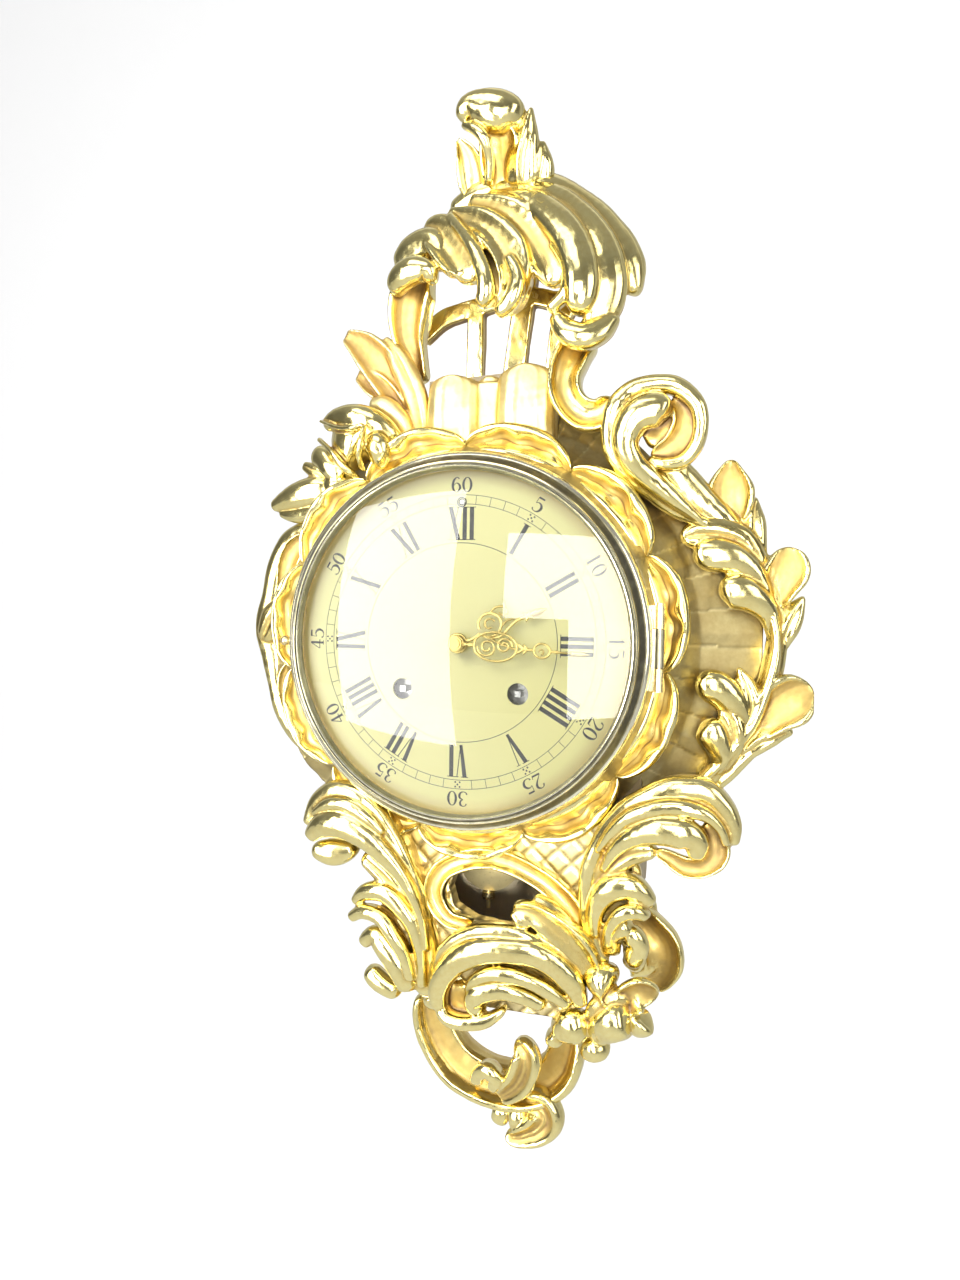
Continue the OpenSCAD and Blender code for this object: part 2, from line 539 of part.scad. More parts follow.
// Case body from depth d, t thick
module case_prism(d, t) {
    rod_at(0, 0, d, case_r, t);
    at_depth(d) linear_extrude(t) polygon(top_block);
    at_depth(d) linear_extrude(t) polygon(lower_block);
}

// Ground panel with no holes, its front raised by gap
module ground_solid(gap) {
    front = [for (p = ground_slope) [p[0], ground_d - p[1] + gap]];
    back = [for (i = [len(ground_slope) - 1:-1:1])
        [ground_slope[i][0], ground_d - ground_slope[i][1] - ground_slope_t]];
    difference() {
        intersection() {
            at_depth(0) rotate_extrude() polygon(concat(
                [[0, ground_d + gap]], front, back,
                [[case_r - 3, ground_back_d], [0, ground_back_d]]
            ));
            at_depth(0) linear_extrude(ground_d + 1)
                polygon([for (p = ground_outline) followed(p)]);
        }
        case_prism(-1, ground_back_d + 1);
    }
    at_depth(ground_back_d) linear_extrude(lower_panel_t + gap) intersection() {
        polygon(lower_block);
        translate([-150, -250]) square([300, 250 + lower_panel_top]);
    }
}

// Room that the carving leaves for the case, the bezel door and its hinge
module case_room() {
    $fn = 60;
    at_depth(-1) linear_extrude(ground_back_d + 1 + glue_gap) offset(delta = glue_gap) {
        circle(r = case_r);
        polygon(top_block);
        polygon(lower_block);
    }
    ground_solid(glue_gap);
    rod_at(0, 0, ground_back_d, bezel_r + 0.5, 60);
    translate([bezel_r - 8, -(bezel_d + 30), -hinge_h / 2 - 1])
        cube([hinge_x + knuckle_r + 1 - bezel_r + 8, 33, hinge_h + 2]);
}

module backboard() {
    color(wood) difference() {
        case_prism(0, back_t);
        rod_at(0, 0, -1, hatch_r, back_t + 2);
        rod_at(0, 0, -1, hatch_r + cover_ledge, cover_t + 1);
        hanger_room();
        for (p = hanger_screw_places) rod_at(p[0], p[1], -1, screw_r + 0.1, back_t + 2);
        for (p = cover_screw_places) rod_at(p[0], p[1], -1, screw_r + 0.1, back_t + 2);
    }
}

cover_gap = 0.3;
screw_r = 1.2;
screw_head_r = 2.6;
screw_head_t = 1.2;
hanger_x = 4;
hanger_w = 44;
hanger_h = 24;
hanger_slot_h = 9;
nail_room_d = 7;
hanger_screw_places = [[hanger_x - 17, hanger_z], [hanger_x + 17, hanger_z]];
cover_screw_r = hatch_r + cover_ledge - screw_head_r - 0.4;
cover_screw_places = [
    for (a = [45:90:315]) [cover_screw_r * cos(a), cover_screw_r * sin(a)]
];

// Recess for the hanger plate with room for a nail head behind it
hanger_d = screw_head_t + 0.1;
module hanger_room() {
    translate([hanger_x - hanger_w / 2 - 0.2, -hanger_d - hanger_t, hanger_z - hanger_h / 2 - 0.2])
        cube([hanger_w + 0.4, hanger_d + hanger_t + 1, hanger_h + 0.4]);
    translate([hanger_x - 8, -nail_room_d, hanger_z - 8]) cube([16, nail_room_d, 18]);
}

module hanger_plate() {
    color(steel) difference() {
        translate([hanger_x - hanger_w / 2, -hanger_d - hanger_t, hanger_z - hanger_h / 2])
            cube([hanger_w, hanger_t, hanger_h]);
        rod_at(hanger_x, hanger_z, 0, hanger_hole_r, hanger_d + hanger_t + 1);
        translate([hanger_x - hanger_slot_w / 2, -hanger_d - hanger_t - 1, hanger_z])
            cube([hanger_slot_w, hanger_t + 2, hanger_slot_h]);
        for (p = hanger_screw_places)
            rod_at(p[0], p[1], 0, screw_r + 0.1, hanger_d + hanger_t + 1);
    }
}

module rear_cover() {
    color(wood) difference() {
        rod_at(0, 0, 0, hatch_r + cover_ledge - cover_gap, cover_t - 0.1);
        for (p = cover_screw_places) {
            rod_at(p[0], p[1], -1, screw_r + 0.1, cover_t + 2);
            rod_at(p[0], p[1], -1, screw_head_r + 0.2, screw_head_t + 1.1);
        }
    }
}

// Screw from the back, with its head at a depth
module back_screw(x, z, d, l) {
    rod_at(x, z, d, screw_head_r, screw_head_t);
    rod_at(x, z, d, screw_r, l);
}

module case_screws() {
    color(steel) {
        for (p = cover_screw_places) back_screw(p[0], p[1], 0, back_t - 0.5);
        for (p = hanger_screw_places) back_screw(p[0], p[1], 0.1, back_t - 0.6);
    }
}

module case_side() {
    t = ground_back_d - back_t;
    color(wood) difference() {
        case_prism(back_t, t);
        rod_at(0, 0, back_t - 1, bore_r, t + 2);
        at_depth(back_t - 1) linear_extrude(t + 2) polygon(chamber);
    }
}

module ground_panel() {
    color(satin_gilt) difference() {
        ground_solid(0);
        rod_at(0, 0, ground_back_d - 1, bore_r, ground_t + 3);
        at_depth(ground_back_d - 1) linear_extrude(ground_t + 3)
            polygon([for (p = window_outline) followed(p)]);
    }
}

module fluted_raw() {
    for (f = flutes)
        swept(LOBE, [[f[0], 106, -12, f[1], 18], [f[0], 126, -10, f[1], 16],
                     [f[0], f[2], -14, f[1], 12]]);
    swept(BAR, [[flute_back[0], 108, -16, flute_back[1], 12],
                [flute_back[0], flute_back[2], -16, flute_back[1], 12]]);
}

module fluted_panel() {
    color(satin_gilt) carved() difference() {
        fluted_raw();
        case_room();
        forms(left_leaf_forms);
        forms(upper_scroll_forms);
        petals();
    }
}

// Rows of one scallop, between two junctions on the ring
petal_gap = 0.6;
petal_overlap = 0.04;
function petal_rows(start) = [
    for (u = [0.02, 0.15, 0.38, 0.62, 0.85, 0.98])
        let (a = start + (u + petal_overlap * (2 * u - 1)) * 360 / petal_count,
             swell = pow(sin(180 * u), 0.6),
             outer = junction_r + (petal_r - junction_r) * swell,
             inner = drawn_bezel_r + petal_gap,
             r = (inner + outer) / 2)
        [r * cos(a), r * sin(a), -3 + 3 * swell, (outer - inner) / 2, 18]
];

module petals() {
    for (i = [0:petal_count - 1])
        swept(PETAL, petal_rows(petal_start + i * 360 / petal_count), 1);
}

module scallop_ring() {
    color(gilt) carved() difference() {
        petals();
        case_room();
    }
}

module crest_finial() {
    color(gilt) carved() difference() {
        forms(crest_forms);
        forms(hood_forms);
    }
}

module hood() {
    color(gilt) carved() difference() {
        forms(hood_forms);
        case_room();
        fluted_raw();
        forms(left_leaf_forms);
    }
}

module trellis() {
    color(satin_gilt) carved() difference() {
        forms(trellis_forms);
        forms(hood_forms);
        fluted_raw();
        case_room();
        forms(upper_scroll_forms);
    }
}

module upper_scroll() {
    color(gilt) carved() difference() {
        forms(upper_scroll_forms);
        forms(hood_forms);
        forms(volute_forms);
        case_room();
        petals();
    }
}

module volute_scroll() {
    color(gilt) carved() difference() {
        forms(volute_forms);
        case_room();
        petals();
        forms(spray_forms);
    }
}

module right_spray() {
    color(gilt) carved() difference() {
        forms(spray_forms);
        case_room();
        petals();
        forms(lower_right_forms);
    }
}

module left_leaf() {
    color(gilt) carved() difference() {
        forms(left_leaf_forms);
        case_room();
        petals();
        forms(bud_forms);
    }
}

module flower_bud() {
    color(gilt) carved() difference() {
        forms(bud_forms);
        case_room();
        petals();
    }
}

module left_lower_leaf() {
    color(gilt) carved() difference() {
        forms(left_lower_forms);
        case_room();
        petals();
        forms(bud_forms);
        forms(left_rim_forms);
    }
}

module left_rim() {
    color(gilt) carved() difference() {
        forms(left_rim_forms);
        case_room();
        petals();
        forms(lower_left_forms);
    }
}

module lower_left_scroll() {
    color(gilt) carved() difference() {
        forms(lower_left_forms);
        case_room();
        petals();
        forms(window_frame_forms);
        forms(acanthus_forms);
    }
}

module lower_right_scroll() {
    color(gilt) carved() difference() {
        forms(lower_right_forms);
        case_room();
        petals();
        forms(window_frame_forms);
        forms(acanthus_forms);
        forms(flower_forms);
    }
}

module window_frame() {
    color(gilt) carved() difference() {
        forms(window_frame_forms);
        case_room();
        petals();
        forms(acanthus_forms);
    }
}

module bottom_acanthus() {
    color(gilt) carved() difference() {
        forms(acanthus_forms);
        case_room();
        forms(flower_forms);
    }
}

module flower() {
    color(gilt) carved() difference() {
        forms(flower_forms);
        case_room();
    }
}

module side_roll() {
    color(gilt) carved() difference() {
        forms(side_roll_forms);
        case_room();
        forms(lower_right_forms);
        forms(flower_forms);
    }
}

module bottom_loop() {
    color(gilt) carved() difference() {
        forms(loop_forms);
        case_room();
        forms(acanthus_forms);
        forms(lower_left_forms);
        forms(flower_forms);
    }
}

module pendant_leaf() {
    color(gilt) carved() difference() {
        forms(pendant_forms);
        forms(loop_forms);
    }
}

// Dial, with its feet on the front plate
dial_foot_r = 2;
dial_foot_places = [[0, -50], [50, 40], [-50, 40]];
regulator_z = 75;
regulator_hole_r = 1.8;
pipe_hole_r = 4;

module dial_plate() {
    color([0.95, 0.92, 0.72]) difference() {
        union() {
            rod_at(0, 0, dial_d, dial_r, dial_t);
            for (p = dial_foot_places)
                rod_at(p[0], p[1], motion_d, dial_foot_r, motion_gap + dial_t / 2);
        }
        rod_at(0, 0, dial_d - 1, pipe_hole_r, dial_t + 2);
        rod_at(0, regulator_z, dial_d - 1, regulator_hole_r, dial_t + 2);
        for (s = [-1, 1])
            rod_at(s * winding_x, -winding_drop, dial_d - 1, winding_hole_r, dial_t + 2);
    }
}

// Knuckle on the hinge axis from z0 to z1
module knuckle(z0, z1) {
    translate([hinge_x, -hinge_d, z0]) cylinder(r = knuckle_r, h = z1 - z0);
}

module dial_ring() {
    leaf_x = bezel_r - 4;
    color(brass) difference() {
        union() {
            rod_at(0, 0, ground_d, bezel_r - 0.5, ring_t);
            rod_at(0, 0, ground_d, upstand_r + upstand_t, dial_lift + dial_t);
            for (s = [-1, 1]) {
                z0 = s > 0 ? middle_knuckle_h / 2 + knuckle_gap : -hinge_h / 2;
                z1 = s > 0 ? hinge_h / 2 : -middle_knuckle_h / 2 - knuckle_gap;
                knuckle(z0, z1);
                translate([leaf_x, -(ground_d + leaf_t), z0])
                    cube([hinge_x - leaf_x, leaf_t, z1 - z0]);
                translate([hinge_x - 0.6, -hinge_d, z0])
                    cube([1.2, hinge_d - ground_d, z1 - z0]);
            }
        }
        rod_at(0, 0, ground_d - 1, ring_bore_r, ring_t + 2);
        rod_at(0, 0, ground_d + ring_t, upstand_r, dial_lift + 2);
        translate([hinge_x, -hinge_d, -hinge_h / 2 - 1])
            cylinder(r = hinge_pin_r + running_gap, h = hinge_h + 2);
    }
}

module hinge_pin() {
    color(brass) translate([hinge_x, -hinge_d, -hinge_h / 2]) {
        cylinder(r = hinge_pin_r, h = hinge_h);
        translate([0, 0, hinge_h + 0.1]) cylinder(r = knuckle_r - 0.4, h = 1.2);
        cylinder(r = hinge_pin_r, h = hinge_h + 0.6);
    }
}

// Section of the bezel, from its outer edge over the beads to the rebate
bezel_section = [
    [bezel_r, 0], [bezel_r, 3.4], [bezel_r - 1, 6.2], [bezel_r - 3, 8], [bezel_r - 3.4, 13],
    [bezel_r - 5, 15.8], [bezel_r - 6.4, 16.6], [bezel_r - 7.4, 15.2],
    [bezel_r - 8.4, 16], [bezel_r - 9.6, 14.8], [sight_r, bezel_h - 4.2],
    [sight_r, lip_d - bezel_d], [rebate_r, lip_d - bezel_d], [rebate_r, 0]
];

module bezel() {
    color(brass) difference() {
        union() {
            at_depth(bezel_d) rotate_extrude() polygon(bezel_section);
            knuckle(-middle_knuckle_h / 2, middle_knuckle_h / 2);
            translate([bezel_r - 2, -(bezel_d + leaf_t), -middle_knuckle_h / 2])
                cube([hinge_x - bezel_r + 2, leaf_t, middle_knuckle_h]);
        }
        translate([hinge_x, -hinge_d, -middle_knuckle_h])
            cylinder(r = hinge_pin_r + running_gap, h = 2 * middle_knuckle_h);
    }
}

// Height of the catch knob's axis over the bezel's back
catch_lift = 1.8;

// Sphere radii of a domed glass with the given edge radius
glass_r = rebate_r - rebate_gap;
dome_r = (glass_r * glass_r + glass_rise * glass_rise) / (2 * glass_rise);

module glass() {
    top_d = glass_edge_d + glass_rise;
    color([0.85, 0.9, 0.92, 0.35]) intersection() {
        difference() {
            translate([0, dome_r - top_d, 0]) sphere(r = dome_r);
            translate([0, dome_r - top_d, 0]) sphere(r = dome_r - glass_t);
        }
        rod_at(0, 0, glass_edge_d - glass_t, glass_r, glass_rise + glass_t + 2);
    }
}

module glass_bead() {
    color(brass) difference() {
        rod_at(0, 0, glass_edge_d - glass_t - bead_t - 0.1, rebate_r - 0.1, bead_t);
        rod_at(0, 0, glass_edge_d - glass_t - bead_t - 1, sight_r + 1, bead_t + 2);
    }
}

module catch_knob() {
    x = -bezel_r;
    d = bezel_d + catch_lift;
    color(brass) {
        translate([x - catch_ball_r - 1.6, -d, -2]) sphere(r = catch_ball_r);
        translate([x - catch_ball_r - 1, -d, -2]) rotate([0, 90, 0]) cylinder(r = 1.2, h = 3.9);
    }
}

// Hands, drawn pointing up and turned clockwise to their angle
module turned_hand(angle, d) {
    translate([0, -d, 0]) rotate([0, angle, 0]) children();
}

module hand_piece(points) {
    at_depth(0) linear_extrude(hand_t) polygon(points);
}

module hand_ring(x, z, r, hole) {
    difference() {
        rod_at(x, z, 0, r, hand_t);
        rod_at(x, z, -1, hole, hand_t + 2);
    }
}

// Pair of rings beside a hand's stem
module hand_scroll(z, r, w) {
    for (side = [-1, 1]) hand_ring(side * r * 0.8, z, r, r - w);
}

module hour_hand() {
    tip = hour_hand_l;
    color(brass) turned_hand(hour_angle, dial_face_d + hour_hand_lift) {
        hand_ring(0, 0, 5, hour_pipe_r + hand_fit);
        hand_piece([[-1.2, 4], [-1, 24], [1, 24], [1.2, 4]]);
        hand_scroll(12, 4, 1.1);
        hand_scroll(20, 2.8, 1);
        hand_ring(0, 27, 4.2, 2.6);
        hand_piece([[-0.8, 30], [-0.8, tip - 13], [0.8, tip - 13], [0.8, 30]]);
        hand_piece([[0, tip], [2.8, tip - 9], [1.2, tip - 14], [-1.2, tip - 14],
                    [-2.8, tip - 9]]);
    }
}

module minute_hand() {
    tip = minute_hand_l;
    color(brass) turned_hand(minute_angle, dial_face_d + minute_hand_lift) {
        hand_ring(0, 0, 4, cannon_pipe_r + hand_fit);
        hand_piece([[-1.1, 3], [-0.9, 34.5], [0.9, 34.5], [1.1, 3]]);
        hand_scroll(13, 4, 1.1);
        hand_scroll(21.5, 3.4, 1);
        hand_scroll(29, 2.6, 0.9);
        hand_ring(0, 37, 3.8, 2.4);
        hand_piece([[-0.7, 39.6], [-0.5, tip - 10], [0.5, tip - 10], [0.7, 39.6]]);
        hand_piece([[0, tip], [1.6, tip - 9], [0.8, tip - 13], [-0.8, tip - 13],
                    [-1.6, tip - 9]]);
    }
}

cannon_pipe_r = 2.2;
hand_fit = 0.02;
hour_pipe_r = 3.2;
centre_tip_r = 1;

module hand_nut() {
    d = dial_face_d + minute_hand_lift + hand_t;
    color(brass) difference() {
        union() {
            rod_at(0, 0, d, 3.6, 1.6);
            rod_at(0, 0, d + 1.6, 2.6, 0.8);
        }
        rod_at(0, 0, d - 1, centre_tip_r + running_gap, 1.8);
    }
}

// Toothed wheel drawn at its own centre
function tooth_points(n, r, m, phase) = [
    for (i = [0:n - 1], t = [[-0.27, -1.1], [-0.11, 0.7], [0.11, 0.7], [0.27, -1.1]])
        let (a = phase + (i + t[0]) * 360 / n, q = r + t[1] * m)
        [q * cos(a), q * sin(a)]
];

// Turn of a driven wheel whose driver has a tooth at driver_phase, seen along the angle line
function meshed(line, driver_phase, driver_n, n) =
    line + 180 + 180 / n - (driver_phase - line) * driver_n / n;

module toothed(place, d, t, n, m, phase) {
    translate([place[0], 0, place[1]]) at_depth(d) linear_extrude(t)
        polygon(tooth_points(n, n * m / 2, m, phase));
}

function line_angle(a, b) = atan2(b[1] - a[1], b[0] - a[0]);

// Places of the arbors, as x and z
centre_at = [0, 0];
going_at = [winding_x, -winding_drop];
strike_at = [-winding_x, -winding_drop];
escape_at = [0, escape_z];
centre_distance = (centre_teeth + small_leaves) * centre_module / 2;
third_distance = (third_teeth + small_leaves) * third_module / 2;
third_z = (pow(centre_distance, 2) - pow(third_distance, 2) + pow(escape_z, 2)) / (2 * escape_z);
third_at = [sqrt(pow(centre_distance, 2) - pow(third_z, 2)), third_z];
anchor_at = [0, anchor_z];
strike_wheel_x = -28;
strike_wheel_at = [
    strike_wheel_x,
    -winding_drop + sqrt(pow(great_distance, 2) - pow(strike_wheel_x + winding_x, 2))
];
strike_distance = (strike_teeth + small_leaves) * strike_module / 2;
fly_at = [strike_wheel_x, strike_wheel_at[1] + strike_distance];
minute_wheel_at = [0, -motion_distance];
cannon_leaves = 12;
minute_leaves = 10;
cannon_module = 2 * motion_distance / (cannon_leaves + minute_wheel_teeth);
hour_module = 2 * motion_distance / (minute_leaves + hour_wheel_teeth);

// Levels of the wheels over the back plate's front face
centre_level = 1.5;
going_great_level = 5;
barrel_level = 7;
barrel_h = 20;
escape_level = 12;
strike_great_level = 29;
third_level = 33;
wheel_t = 1.5;
great_t = 2;

// Arbor through both plates, at a place
module arbor(place, r = arbor_r) {
    rod_at(place[0], place[1], back_plate_d, r, plate_gap + 2 * plate_t);
}

// Plan of the movement plates
module plate_plan() {
    intersection() {
        circle(r = plate_r);
        translate([-plate_half_w, -plate_bottom])
            square([2 * plate_half_w, plate_bottom + plate_top]);
    }
    translate([-9, 0]) square([18, regulator_z + 5]);
}

train_places = [third_at, escape_at, anchor_at, strike_wheel_at, fly_at];

module movement_plate(d) {
    color(brass) difference() {
        at_depth(d) linear_extrude(plate_t) plate_plan();
        for (p = train_places)
            rod_at(p[0], p[1], d - 1, arbor_r + running_gap, plate_t + 2);
        for (p = [going_at, strike_at])
            rod_at(p[0], p[1], d - 1, winding_arbor_r + running_gap, plate_t + 2);
        rod_at(0, 0, d - 1, arbor_r + running_gap, plate_t + 2);
        rod_at(0, regulator_z, d - 1, arbor_r + running_gap, plate_t + 2);
    }
}

module back_plate() {
    movement_plate(back_plate_d);
    color(steel) rod_at(hammer_at[0], hammer_at[1], back_plate_d - 7, arbor_r, 7);
}

module front_plate() {
    movement_plate(front_plate_d);
    color(steel) translate([minute_wheel_at[0], 0, minute_wheel_at[1]])
        at_depth(motion_d) cylinder(r = arbor_r, h = 7);
}

pillar_places = [
    [plate_half_w - 10, plate_top - 11], [10 - plate_half_w, plate_top - 11],
    [pillar_x, pillar_z], [-pillar_x, pillar_z]
];

module plate_pillars() {
    color(brass) for (p = pillar_places)
        rod_at(p[0], p[1], train_d, pillar_r, plate_gap);
}

post_places = [
    [plate_half_w - 10, plate_top - 9], [10 - plate_half_w, plate_top - 9],
    [pillar_x - 3, pillar_z + 3], [3 - pillar_x, pillar_z + 3]
];

module movement_posts() {
    color(steel) for (p = post_places)
        rod_at(p[0], p[1], back_t, pillar_r, back_plate_d - back_t);
}

module going_barrel() {
    color(brass) difference() {
        union() {
            toothed(going_at, train_d + going_great_level, great_t, great_teeth,
                    great_module, going_phase);
            rod_at(going_at[0], going_at[1], train_d + barrel_level, barrel_r, barrel_h);
            rod_at(going_at[0], going_at[1], train_d + barrel_level + barrel_h, barrel_r - 3, 0.6);
        }
        rod_at(going_at[0], going_at[1], train_d, winding_arbor_r + running_gap, plate_gap);
    }
}

// Angles of the wheels, each meshed with the one before it
going_phase = 0;
centre_pinion_phase =
    meshed(line_angle(going_at, centre_at), going_phase, great_teeth, great_leaves);
centre_phase = 0;
third_pinion_phase =
    meshed(line_angle(centre_at, third_at), centre_phase, centre_teeth, small_leaves);
third_phase = 0;
escape_pinion_phase =
    meshed(line_angle(third_at, escape_at), third_phase, third_teeth, small_leaves);
strike_phase = 0;
strike_pinion_phase =
    meshed(line_angle(strike_at, strike_wheel_at), strike_phase, great_teeth, great_leaves);
strike_wheel_phase = 0;
fly_pinion_phase =
    meshed(line_angle(strike_wheel_at, fly_at), strike_wheel_phase, strike_teeth, small_leaves);
cannon_phase = 0;
minute_wheel_phase = meshed(
    line_angle(centre_at, minute_wheel_at), cannon_phase, cannon_leaves, minute_wheel_teeth);
minute_pinion_phase = 0;
hour_wheel_phase = meshed(
    line_angle(minute_wheel_at, centre_at), minute_pinion_phase, minute_leaves,
    hour_wheel_teeth);

module centre_wheel() {
    color(brass) {
        toothed(centre_at, train_d + centre_level, wheel_t, centre_teeth, centre_module,
                centre_phase);
        toothed(centre_at, train_d + going_great_level - 0.5, great_t + 1.5, great_leaves,
                great_module, centre_pinion_phase);
        arbor(centre_at);
        rod_at(0, 0, motion_d, centre_tip_r,
               dial_face_d + minute_hand_lift + hand_t + 0.6 - motion_d);
    }
}

module third_wheel() {
    color(brass) {
        toothed(third_at, train_d + third_level, wheel_t, third_teeth, third_module,
                third_phase);
        toothed(third_at, train_d + centre_level - 0.8, wheel_t + 1.6, small_leaves,
                centre_module, third_pinion_phase);
        arbor(third_at);
    }
}

// Escape wheel with raked pointed teeth
module escape_wheel() {
    color(brass) {
        translate([escape_at[0], 0, escape_at[1]]) at_depth(train_d + escape_level)
            linear_extrude(wheel_t) polygon([
                for (i = [0:escape_teeth - 1], t = [[0, 0], [0.45, -1.8], [0.8, -1.8]])
                    let (a = (i + t[0]) * 360 / escape_teeth, q = escape_r + t[1])
                    [q * cos(a), q * sin(a)]
            ]);
        toothed(escape_at, train_d + third_level - 0.5, wheel_t + 1, small_leaves,
                third_module, escape_pinion_phase);
        arbor(escape_at);
    }
}

// Anchor with its two pallets, and the crutch that holds the pendulum rod
crutch_drop = 30;
crutch_d = back_plate_d - 3.5;
fork_gap = 0.3;
fork_r = 0.7;
pallet_gap = 1.1;

module anchor() {
    reach = escape_r + 1.2;
    color(steel) {
        rod_at(anchor_at[0], anchor_at[1], crutch_d, arbor_r,
               back_plate_d - crutch_d + plate_gap + 2 * plate_t);
        translate([0, 0, anchor_z]) at_depth(train_d + escape_level) linear_extrude(wheel_t)
            difference() {
                translate([-reach, -12]) square([2 * reach, 14.5]);
                translate([0, escape_z - anchor_z]) circle(r = escape_r + pallet_gap);
                translate([-reach - 1, -13]) square([4, 7]);
                translate([reach - 3, -13]) square([4, 7]);
            }
        translate([-1.6, -crutch_d - 1, anchor_z - crutch_drop])
            cube([3.2, 1, crutch_drop + 2.5]);
        for (s = [-1, 1])
            translate([s * (rod_r + fork_gap + fork_r), -crutch_d - 0.5, anchor_z - crutch_drop])
                rotate([-90, 0, 0]) cylinder(r = fork_r, h = crutch_d - bob_d + rod_r + 1);
        translate([-rod_r - fork_gap - 2 * fork_r, -crutch_d - 1, anchor_z - crutch_drop - 1])
            cube([2 * (rod_r + fork_gap + 2 * fork_r), 1, 2]);
    }
}

suspension_gap = 0.6;
spring_t = 0.4;
spring_w = 5;

module suspension_cock() {
    block_h = 7;
    half = spring_w / 2 + 1.6;
    color(brass) difference() {
        union() {
            translate([-5, -back_plate_d, anchor_z + 4])
                cube([10, back_plate_d - bob_d + half, block_h - 3]);
            translate([-5, -bob_d - half, anchor_z + 0.5]) cube([10, 2 * half, block_h]);
        }
        translate([-spring_t / 2 - suspension_gap, -bob_d - spring_w / 2 - suspension_gap,
                   anchor_z])
            cube([spring_t + 2 * suspension_gap, spring_w + 2 * suspension_gap, 3.5]);
    }
}

bob_z = anchor_z - pendulum_l;
rod_end_z = bob_z - bob_r - nut_h - 6;

module pendulum_rod() {
    spring_l = 6;
    color(brass) {
        translate([-spring_t / 2, -bob_d - spring_w / 2, anchor_z - spring_l])
            cube([spring_t, spring_w, spring_l + 2]);
        translate([-1.4, -bob_d - spring_w / 2, anchor_z - spring_l - 3])
            cube([2.8, spring_w, 3]);
        translate([0, -bob_d, rod_end_z])
            cylinder(r = rod_r, h = anchor_z - spring_l - 2 - rod_end_z);
    }
}

module bob() {
    ball_r = (bob_r * bob_r + bob_t * bob_t / 4) / bob_t;
    color(brass) difference() {
        intersection() {
            translate([0, -bob_d - bob_t / 2 + ball_r, bob_z]) sphere(r = ball_r);
            translate([0, -bob_d + bob_t / 2 - ball_r, bob_z]) sphere(r = ball_r);
            rod_at(0, bob_z, bob_d - bob_t, bob_r - 0.4, 2 * bob_t);
        }
        translate([0, -bob_d, bob_z - bob_r - 1])
            cylinder(r = rod_r + running_gap, h = 2 * bob_r + 2);
    }
}

module rating_nut() {
    color(brass) translate([0, -bob_d, bob_z - bob_r - nut_h]) difference() {
        cylinder(r = nut_r, h = nut_h);
        translate([0, 0, -1]) cylinder(r = rod_r + running_gap, h = nut_h + 2);
    }
}

module strike_barrel() {
    drum_level = barrel_level + 1;
    color(brass) difference() {
        union() {
            toothed(strike_at, train_d + strike_great_level, great_t, great_teeth,
                    great_module, strike_phase);
            rod_at(strike_at[0], strike_at[1], train_d + drum_level, barrel_r,
                   strike_great_level - drum_level);
        }
        rod_at(strike_at[0], strike_at[1], train_d, winding_arbor_r + running_gap, plate_gap);
    }
}

module strike_wheel() {
    color(brass) {
        toothed(strike_wheel_at, train_d + third_level, wheel_t, strike_teeth,
                strike_module, strike_wheel_phase);
        toothed(strike_wheel_at, train_d + strike_great_level - 0.5, great_t + 1,
                great_leaves, great_module, strike_pinion_phase);
        arbor(strike_wheel_at);
    }
}

module fly() {
    color(brass) {
        toothed(fly_at, train_d + third_level - 0.5, wheel_t + 1, small_leaves,
                strike_module, fly_pinion_phase);
        arbor(fly_at);
        translate([fly_at[0] - 9, -(train_d + 26), fly_at[1] - 0.6]) cube([18, 12, 1.2]);
    }
}

// Hammer on a stud behind the back plate, at rest beside the gong rod
hammer_at = [40, -51];
hammer_head = [53.5, -84];
hammer_gap = 0.4;
hammer_arm_d = back_plate_d - 4;

module hammer() {
    head_l = 9;
    color(brass) {
        difference() {
            rod_at(hammer_at[0], hammer_at[1], hammer_arm_d - 2, 3.5, 5);
            rod_at(hammer_at[0], hammer_at[1], hammer_arm_d - 3, arbor_r + running_gap, 7);
        }
        difference() {
            at_depth(hammer_arm_d - 1) linear_extrude(1.6) polygon([
                hammer_at + [-2.5, 0], hammer_head + [-2.5, -1], hammer_head + [2.5, -1],
                hammer_at + [2.5, 0]
            ]);
            rod_at(hammer_at[0], hammer_at[1], hammer_arm_d - 2, 3, 4);
        }
        translate([gong_x - gong_r - hammer_gap - head_l, -bob_d, hammer_head[1]])
            rotate([0, 90, 0]) cylinder(r = 4, h = head_l);
        translate([hammer_head[0] - 1.5, -hammer_arm_d, hammer_head[1] - 1.5])
            cube([3, hammer_arm_d - bob_d, 3]);
    }
}

module gong() {
    color(steel) translate([gong_x, -bob_d, gong_top - gong_l])
        cylinder(r = gong_r, h = gong_l);
    color([0.3, 0.3, 0.32]) difference() {
        translate([gong_x - 4.5, -bob_d - 5, gong_top - gong_l - gong_block_h])
            cube([9, bob_d + 5 - back_t, gong_block_h + 4]);
        translate([gong_x, -bob_d, gong_top - gong_l]) cylinder(r = gong_r, h = 4);
    }
}

// Square-ended arbor with its ratchet wheel in front of the front plate
square_w = 3.2;
ratchet_r = 9;
ratchet_teeth = 24;

module winding_arbor(place) {
    color(steel) {
        rod_at(place[0], place[1], back_plate_d - 1, winding_arbor_r,
               motion_d - back_plate_d + 3);
        translate([place[0] - square_w / 2, -(dial_face_d - 0.3), place[1] - square_w / 2])
            cube([square_w, dial_face_d - 0.3 - motion_d - 1, square_w]);
        translate([place[0], 0, place[1]]) at_depth(motion_d + 0.4) linear_extrude(1.6)
            polygon([
                for (i = [0:ratchet_teeth - 1], t = [[0, 0], [0.15, -1]])
                    let (a = (i + t[0]) * 360 / ratchet_teeth, q = ratchet_r + t[1])
                    [q * cos(a), q * sin(a)]
            ]);
    }
}

